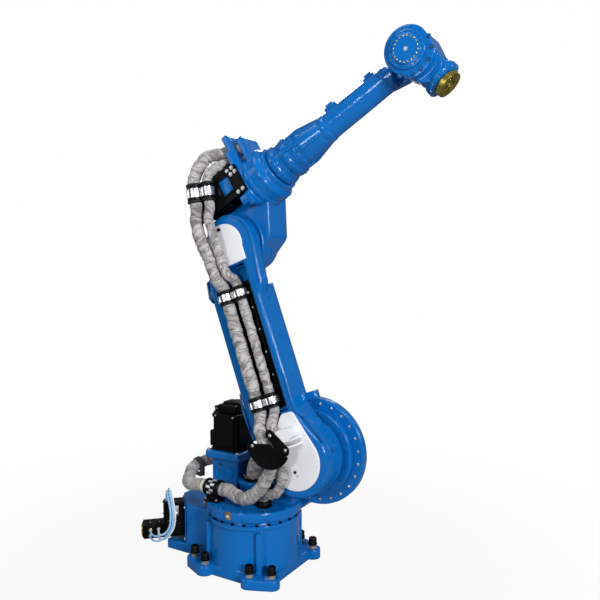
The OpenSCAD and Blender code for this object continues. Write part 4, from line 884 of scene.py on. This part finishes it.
# gear housing
housing = shift(HOUSING_X, HOUSING_Y, 0)
for sx, sy in CORNERS:
    b.hexbolt(housing @ shift(sx * 98, sy * 98, 587), 8, 9)
    b.lathe(housing @ shift(sx * 72, sy * 72, 0), [(15, 357), (15, 545)], BLUE)
b.box(WORLD, (HOUSING_X - 92, -42, 357), (HOUSING_X + 70, -28, 384), 6, BLUE)
b.solid(near(WORLD, HOUSING_X - 30, -30, 508), [(17, 0), (16, 3), (11, 3), (10, 1.2)], BLUE, 28)
# painted shade in the housing's hole
b.solid(near(WORLD, HOUSING_X - 30, -31.5, 508), [(8, 0), (7, 2.4)], HOLE_SHADE, 6, True)
b.solid(near(WORLD, HOUSING_X + 28, -30, 470), [(30, 0), (28, 5), (18, 7)], BLUE, 36)
# shoulder gear case and wall
ring(b, facing(SHOULDER, (0, 225, 0), "+y"), 196, 12, 9, 8, STEEL, 15)
for z in (400, 470, 540):
    b.box(WORLD, (-46, 112, z), (-36, 150, z + 22), 5, BLUE)
b.done()

b = Batch("turn_motor_shell", "turret", "black_metal", BLACK)
corner = [(83, 58), (70, 60), (66, 66), (60, 70), (58, 83)]
half = corner + [(-x, y) for x, y in corner[::-1]]
b.prism(housing @ turn_x(90), half + [(-x, -y) for x, y in half], MOTOR_FOOT, 770, 5)
for sx, sy in CORNERS:
    post = housing @ shift(sx * 73, sy * 73, MOTOR_FOOT)
    b.solid(post, [(7.5, 0), (7.5, 168)], BLACK, 16)
    b.hexbolt(post, 10, 12)
b.boxes(housing, ((-88, -88, 587), (88, 88, MOTOR_FOOT), 4), ((-85, -85, 768), (85, 85, 792), 7, BLACK, 3),
        ((-65, -65, 790), (65, 65, 838), 14, BLACK, 4), ((-50, -30, 834), (62, 50, 850), 7, BLACK, 3),
        ((-115, -35, 712), (-80, 35, 790), 7, BLACK, 3),
        ((-106, -78, MOTOR_FOOT), (-80, 24, 692), 7, BLACK, 3))
cap = [(44, 0), (44, 8), (40, 14), (34, 14), (32, 11)]
b.solid(housing @ shift(12, 14, 838), cap, BLACK, 40)
plug = [(13, 0), (13, 12), (15, 14), (15, 24), (11, 28)]
for y in (-16, 16):
    b.solid(housing @ shift(-100, y, 790), plug, BLACK)
    b.lathe(housing @ shift(-100, y, 803), [(14, 0), (16, 1), (16, 5), (14, 6)], STEEL)
for x in (-60, 60):
    b.bolt(near(housing, x, -85, 780), 5, 4, STEEL)
b.done(["turn_motor"])

b = Batch("shoulder_motor_details", "turret", "black_metal", BLACK)
motor = shift(275, 225, SHOULDER_Z)
for y in (12, 40, 68, 96, 124):
    b.box(motor, (-98, y, -98), (98, y + 9, 98), 3)
for sx, sz in CORNERS:
    b.hexbolt(facing(motor, (sx * 78, 150, sz * 78), "+y"), 9, 10, STEEL)
b.box(motor, (-35, 60, 94), (35, 130, 124), 7)
b.solid(motor @ shift(0, 95, 120), [(20, 0), (20, 14), (16, 20)], BLACK, 28)
b.done()


# clamps
def hose_clamp(name, body, m, holes, length, back, replaced, margin):
    """A split clamp round two hoses (x, y, radius): ribbed halves, bright saddles with screws between."""
    c = Batch(name, body, "black_metal", BLACK)
    (x0, y0, r0), (x1, y1, r1) = holes
    end, mid = length * 0.13, length * 0.24
    c.box(m, (x0 - r0 - margin, y0 + r0 * 0.42, -length / 2 + 2), (x1 + r1 + margin, back, length / 2 - 2), 3)
    for x, y, r in holes:
        f = m @ shift(x, y, 0)
        for sign in (-1, 1):
            g = f @ shift(0, 0, sign * (length / 2 - end))
            collar(c, g, r + 0.6, end, 7.5)
            collar(c, g @ shift(0, 0, sign * end * 0.5), r + 0.6, end * 0.42, 9.5, RUBBER)
        c.band(f, r + 0.8, r + 8.0, mid - 1.0, -152, -28, STEEL, 26)
        for a in (-118, -62):
            h = f @ turn_z(a) @ shift(r + 7.6, 0, 0)
            c.box(h, (-0.5, -r * 0.20, -mid + 3), (3.2, r * 0.20, mid - 3), 1.2, STEEL)
        # painted shade in the split between the saddle plates
        h = f @ turn_z(-90) @ shift(r + 7.6, 0, 0)
        c.box(h, (-1, -r * 0.09, -mid - 2), (2.4, r * 0.09, mid + 2), 1.0, HOLE_SHADE)
    gap = max(6.0, (x1 - r1 - x0 - r0) / 2)
    for x, y, w in ((x0 - r0 - margin * 0.3, y0, margin * 0.75),
                    ((x0 + r0 + x1 - r1) / 2, (y0 + y1) / 2, gap),
                    (x1 + r1 + margin * 0.3, y1, margin * 0.75)):
        c.box(m, (x - w, y - 17, -mid + 1), (x + w, y + 16, mid - 1), 2, STEEL)
        c.box(m, (x - w * 0.9, y - 10, -length / 2 + 3), (x + w * 0.9, y + 18, length / 2 - 3), 2)
        for z in (-mid * 0.6, mid * 0.6):
            c.bolt(near(m, x, y - 17, z), min(5.5, w * 0.8), 5, STEEL)
    c.done([replaced])


for side, z in (("lower", LOW_CLAMP), ("upper", HIGH_CLAMP)):
    hose_clamp(f"{side}_clamp_saddles", "lower_arm", LOWER @ shift(0, 0, z),
               [(HOSE_IN_X, IN_Y, HOSE_R), (SMALL_IN_X, SMALL_IN_Y, SMALL_R)], ARM_CLAMP_L + 18, PLATE_FACE,
               f"{side}_hose_clamp", 12)
hose_clamp("elbow_clamp_saddles", "elbow", ELBOW_CLAMP,
           [(0, ELBOW_OUT_Y, HOSE_R), (HOSE_PITCH, ELBOW_SMALL_Y, SMALL_R)], ELBOW_CLAMP_L, BRACKET_FACE,
           "elbow_hose_clamp", 8)

b = Batch("turret_clamp_band", "turret", "black_metal", BLACK)
clamp = ahead(WORLD, CLAMP_X, CLAMP_Y, CLAMP_Z)
for x, half, wall in ((-38, 9.5, 11), (38, 9.5, 11), (-20, 5, 7), (20, 5, 7)):
    collar(b, clamp @ shift(0, 0, x), HOSE_R + 0.6, half, wall)
collar(b, clamp, HOSE_R + 0.6, 30, 6, RUBBER)
b.box(WORLD, (CLAMP_X - 34, CLAMP_Y - 30, PLATE_Z), (CLAMP_X + 34, CLAMP_Y + 30, CLAMP_Z - 34), 4)
b.box(WORLD, (CLAMP_X - 44, CLAMP_Y - 36, PLATE_Z), (CLAMP_X + 44, CLAMP_Y + 36, PLATE_Z + 14), 4)
for a, dx in ((118, -12), (140, 10), (160, -14), (181, 8), (203, -10), (96, 8)):
    f = shift(CLAMP_X + dx, CLAMP_Y, CLAMP_Z) @ turn_x(a - 90) @ shift(0, 0, HOSE_R + 6)
    b.box(f, (-13, -7, -1), (13, 7, 4.5), 2, STEEL)
    for x in (-6, 6):
        b.bolt(f @ shift(x, 0, 4.5), 4, 3.5, STEEL)
for sx in (-1, 1):
    b.hexbolt(shift(CLAMP_X + sx * 36, CLAMP_Y - 30, PLATE_Z + 14), 5, 6, STEEL)
b.done(["turret_hose_clamp"])

# tape collars and the strap on the turret loop
b = Batch("turret_wraps", "turret", "grey_cloth", TAPE)
collar(b, clamp @ shift(0, 0, -62), HOSE_R - 0.4, 10, 2.6)
f = route_frame(TURRET_ROUTE, 0.485)
collar(b, f, HOSE_R - 0.4, 17, 4.0, STRAP)
collar(b, f @ shift(0, 0, 5), HOSE_R + 2, 4, 3.0, STRAP)
tag = shift(*f[:3, 3]) @ turn_z(degrees(atan2(f[1, 2], f[0, 2])))
for y in (-36, 36):
    b.box(tag, (-16, y - 4, -64), (16, y + 4, 6), 3, STRAP)
b.box(tag, (-16, -40, -66), (16, 40, -58), 3, STRAP)
b.done()
b = Batch("elbow_wraps", "elbow", "grey_cloth", TAPE)
collar(b, ahead(FORE, ENTRY_U - 15, ENTRY_Y, ENTRY_V), HOSE_R - 0.6, 12, 3.2)
collar(b, ahead(FORE, WALL_U - 9, SMALL_ENTRY_Y, SMALL_ENTRY_V), SMALL_R - 0.6, 8, 3.0, STRAP)
stub = [(28, 0), (29, 8), (27.5, 16), (29, 26), (28, 42)]
b.solid(ahead(FORE, 264, ENTRY_Y, 412), stub, CLOTH, 32)
b.done()


# lower arm
def bead(b, path, half, proud, bevel):
    """A cast bead along a path (x, z) on the near face of the arm."""
    way = np.array(path, float)
    side = np.gradient(way, axis=0)
    side = np.stack([-side[:, 1], side[:, 0]], 1) / length_of(side, axis=1)[:, None]
    outline = np.concatenate([way + half * side, (way - half * side)[::-1]])
    b.prism(LOWER, [tuple(q) for q in outline], -ARM_NEAR - proud, -ARM_NEAR + 3, bevel, BLUE)


def on_circle(radius, deg, height=0):
    return radius * cos(radians(deg)), height + radius * sin(radians(deg))


b = Batch("lower_arm_fastenings", "lower_arm", "bright_steel", STEEL)
# painted shade in the hole of the lower cover
b.solid(near(LOWER, -7, COVER_FACE, -54), [(9, 0), (9, 0.8), (6, 1.4)], HOLE_SHADE)
b.bolt(near(LOWER, 2, COVER_FACE, -74), 5, 2.5)
for x, z in [on_circle(138, a) for a in (-20, -70, -120, -165, 15)] + [(60, 214)]:
    b.bolt(near(LOWER, x, COVER_FACE, z), 4, 2, WHITE)
for x, z in ((-100, -88), (62, -88), (-25, 92)):
    b.bolt(near(LOWER, x, COVER_FACE, LOWER_LEN + z), 4.5, 2.2, WHITE)
b.bolt(near(LOWER, -28, COVER_FACE, LOWER_LEN + 86), 9, 9, BLACK)
for z in (400, 520, 640, 760, 840):
    b.bolt(near(LOWER, 30, PLATE_FACE, z), 7, 6, BLACK)
    b.bolt(near(LOWER, 6, PLATE_FACE - 10, z + 40), 5, 4)
b.boxes(LOWER, ((0, -100, 360), (12, -89.5, 850), 3, BLACK), ((40, -98, 360), (50, -89.5, 930), 3, BLACK),
        ((-30, -104, 254), (50, -86, 264), 3, BLUE), ((-30, -104, 1016), (50, -86, 1026), 3, BLUE),
        ((104, -104, 905), (128, -74, 938), 7, BLUE, 3))
for x, z in ((-30, 158), (34, 70), (-150, 132)):
    b.hexbolt(near(LOWER, x, OUT_Y - HOSE_R - 6, z), 6.5, 6)
bead(b, [(88, 430), (88, 352), (89, 290), (93, 248), (102, 226), (122, 208), (146, 190), (164, 166),
         (177, 138), (186, 108), (194, 78), (199, 52)], 5, 4, 2.4)
bead(b, [(112, 905), (120, 960), (130, 1040), (139, 1100)]
     + [on_circle(142, a, LOWER_LEN) for a in range(0, 75, 8)], 6, 4.5, 3.2)
for y, wide in ((-96, 8), (6, 10)):
    b.lathe(near(LOWER, 0, y, 0), [(DRUM_R - 2, -wide), (DRUM_R + 3, -wide + 2), (DRUM_R + 3, wide - 2),
                                   (DRUM_R - 2, wide)], BLUE, 120)
for a, y in ((-1, -62), (-72, -60)):
    f = near(LOWER, 0, y, 0) @ turn_z(a) @ shift(DRUM_R, 0, 0) @ turn_y(90)
    b.solid(f, [(13, 0), (12, 2.5), (9, 2.5), (8, 0.6)], BLUE, 28)
    # painted shade in the boss's hole
    b.solid(f, [(7.5, 0.6), (7, 1.2)], HOLE_SHADE)
for z in (420, 620, 820):
    b.bolt(ahead(LOWER, 92, -60, z), 8, 6, BLUE)
b.done()

# elbow
b = Batch("elbow_fastenings", "elbow", "bright_steel", STEEL)
for u, v in ((232, 306), (200, 306), (240, 280), (212, 280), (238, 178), (206, 178)):
    b.hexbolt(near(FORE, u, BRACKET_FACE, v), 8, 8)
for u, v in ((92, 300), (92, 180), (-70, 178), (-70, 306)):
    b.hexbolt(near(FORE, u, BRACKET_FACE, v), 6, 6, BLACK)
b.box(FORE, (104, -157, 190), (206, -149, 300), 3, BLUE)
for u in (128, 152, 176):
    b.box(FORE, (u, -157.6, 196), (u + 8, -150, 296), 2, BLUE)
# the window's frame
for u, v, wide, high in ((110, 193, 90, 13), (110, 289, 90, 13), (108, 193, 13, 109), (189, 193, 13, 109)):
    b.box(FORE, (u, BRACKET_FACE - 3, v), (u + wide, BRACKET_FACE + 2, v + high), 2.5, BLACK)
plug = [(17, 0), (17, 12), (20, 14), (20, 24), (16, 30)]
for u, y in ((100, -120), (142, -120), (184, -118)):
    b.solid(FORE @ shift(u, y, 306), plug, BLACK)
    b.lathe(FORE @ shift(u, y, 316), [(17, 0), (18.6, 0.6), (18.6, 3.4), (17, 4)], STEEL)
for u in (60, 110, 160, 210):
    b.bolt(FORE @ shift(u, -134, 308), 5, 5)
for u, v in ((242, 478), (314, 418)):
    for y in (-106, 14):
        b.bolt(facing(FORE, (u, y, v), "-x"), 7, 14, BLUE)
for y in (-108, 16):
    b.solid(ahead(FORE, 266, y, 470), [(12, 0), (12, 3)], BLUE)
radial_ring(b, roll(330), 143.5, 12, 5, 3, 15)
rim = [(143, 0), (147, 2), (148, 6), (148, 22), (147, 26), (143, 28)]
b.lathe(roll(262), rim, BLUE, 96)
ring(b, facing(FORE, (0, 120, 0), "+y"), 122, 12, 8, 7, BLUE, 10)
for y, wide in ((-42, 7), (8, 11)):
    rim = [(163, -wide), (168, -wide + 3), (169, 0), (168, wide - 3), (163, wide)]
    b.lathe(near(FORE, 0, y, 0), rim, BLUE, 120)
rim = [(151, -2), (152, 1.2), (155, 2.6), (163, 2.6), (166.5, 1), (168, -4), (163, -8)]
b.lathe(near(FORE, 0, -64, 0), rim, BLUE, 140)
# connector blocks and a lug
b.box(FORE, (186, -152, 318), (218, -100, 346), 5, BLACK)
b.boxes(FORE, ((-34, -132, 163), (112, -24, 198), 6, BLACK, 3),
        ((-30, -118, 190), (30, -40, 286), 8, BLACK, 3), ((-52, -106, 200), (-26, -56, 262), 6, BLACK, 3),
        ((18, -54, 306), (186, 0, 403), 8, BLACK, 3), ((30, -60, 318), (96, -50, 372), 4, BLACK, 3),
        ((112, -60, 318), (174, -50, 372), 4, BLACK, 3), ((182, -150, 110), (248, -120, 160), 10, BLUE, 3))
# motors
for su, sv in CORNERS:
    b.hexbolt(facing(FORE, (-70 + su * 60, 270, 50 + sv * 60), "+y"), 8, 8)
for y in (150, 180, 210, 240):
    b.box(FORE, (-147, y, -27), (7, y + 8, 127), 3, BLACK)
for y in (-78, 78):
    for u in (70, 110, 150, 190):
        b.box(FORE, (u, y - 63.5, 182.5), (u + 8, y + 63.5, 309.5), 3, BLACK)
b.done()

# forearm
b = Batch("forearm_fastenings", "forearm", "blue_paint", BLUE)
for u, *heads in ((489, 102.2, 16, 6, 4.5, 4), (415, 106.4, 12, 5.5, 4), (531, 95.4, 8, 5.5, 5)):
    radial_ring(b, roll(u), *heads)
for k in range(8):
    b.box(roll(0) @ turn_z(45 * k), (88, -5, 512), (99, 5, 574), 3)
for u, long, top in ((770, 54, 96), (1005, 48, 86)):
    b.box(FORE, (u - 14, -16, ROLL_OFFSET + 50), (u + long, 16, ROLL_OFFSET + top - 10), 8, BLUE, 3)
    for du in (10, 28):
        f = FORE @ shift(u + du, 0, ROLL_OFFSET + top)
        # painted shade in the holes on top of the lug
        b.solid(f, [(6, -1), (6, 1.4), (5, 2)], HOLE_SHADE, 18)
rim = [(66, 0), (69.5, 4), (70, 10), (70, 26), (68.5, 34), (64, 42)]
b.lathe(roll(700), rim, BLUE, 64)
b.lathe(roll(1088), [(59, -6), (62.4, -2), (63, 2), (63, 8)], BLUE, 64)
b.done()

# wrist
b = Batch("wrist_fastenings", "wrist", "blue_paint", BLUE)
ring(b, near(WRIST, 0, -126, 0), 77, 20, 3.8, 3, BLUE, 9)
ring(b, near(WRIST, 0, -131, 0), 57, 20, 3.4, 2.4, BRASS)
ring(b, near(WRIST, 0, -118, 0), 99, 14, 3.8, 2.4, BLUE, 95)
b.hexbolt(near(WRIST, 0, -131, 0), 7, 4, STEEL)
for x, z in ((54, -100), (80, -84), (100, -60), (113, -22), (113, 28), (88, 74), (44, 99)):
    f = near(WRIST, x, -118, z)
    b.solid(f, [(11, 0.2), (11, 1.6), (8.6, 1.6), (8.2, 0.5)], BLUE, 28)
    # painted shade in the recess round the bolt
    b.solid(f, [(7.6, 0.5), (7.4, 1.0)], HOLE_SHADE)
    b.hexbolt(f, 4.6, 3.4, BLUE, False)
b.lathe(ahead(WRIST, 146, 0, 0), [(77, 0), (81, 2), (83, 6), (83, 12), (80, 15), (77, 16)], BLUE, 72)
radial_ring(b, ahead(WRIST, 172, 0, 0), 85.6, 8, 4.5, 4, 15)
ring(b, ahead(WRIST, 182, 0, 0), 78, 12, 3.4, 3, STEEL)
for a in (-115, -65):
    f = ahead(WRIST, 118, 0, 0) @ turn_z(a)
    b.box(f, (72, -14, -14), (81, 14, 14), 4)
    b.bolt(f @ shift(81, 0, 0) @ turn_y(90), 6, 4, STEEL)
b.done()

# tool flange: painted shade at the bottom of the pilot bore, with a crossed web in it, and painted shade in
# the bolt holes
b = Batch("tool_flange_web", "tool", "yellow_plating", BRASS)
tool = ahead(WRIST, TOOL_LEN, 0, 0)
b.solid(tool, [(31.3, -7.9), (31.3, -7.2)], HOLE_SHADE, 48)
b.box(tool, (-31, -5, -7.6), (31, 5, -1.2), 1.5)
b.box(tool, (-5, -31, -7.6), (5, 31, -1.2), 1.5)
b.solid(tool, [(11, -7.6), (11, -0.6), (9, 0.4), (5, 0.4), (4.4, -3)], BRASS, 32)
for k in range(4):
    b.solid(tool @ turn_z(45 + 90 * k) @ shift(41, 0, 0), [(5.5, 0), (5.2, 0.5)], HOLE_SHADE)
for k in range(6):
    b.solid(tool @ turn_z(30 + 60 * k) @ shift(55, 0, 0), [(3.2, 0), (3.0, 0.5)], HOLE_SHADE, 18)
b.lathe(tool @ shift(0, 0, -24), [(62, 4), (63.4, 5), (63.4, 9), (62, 10)], BRASS, 64)
b.done()

bpy.context.scene.view_settings.view_transform = "Standard"
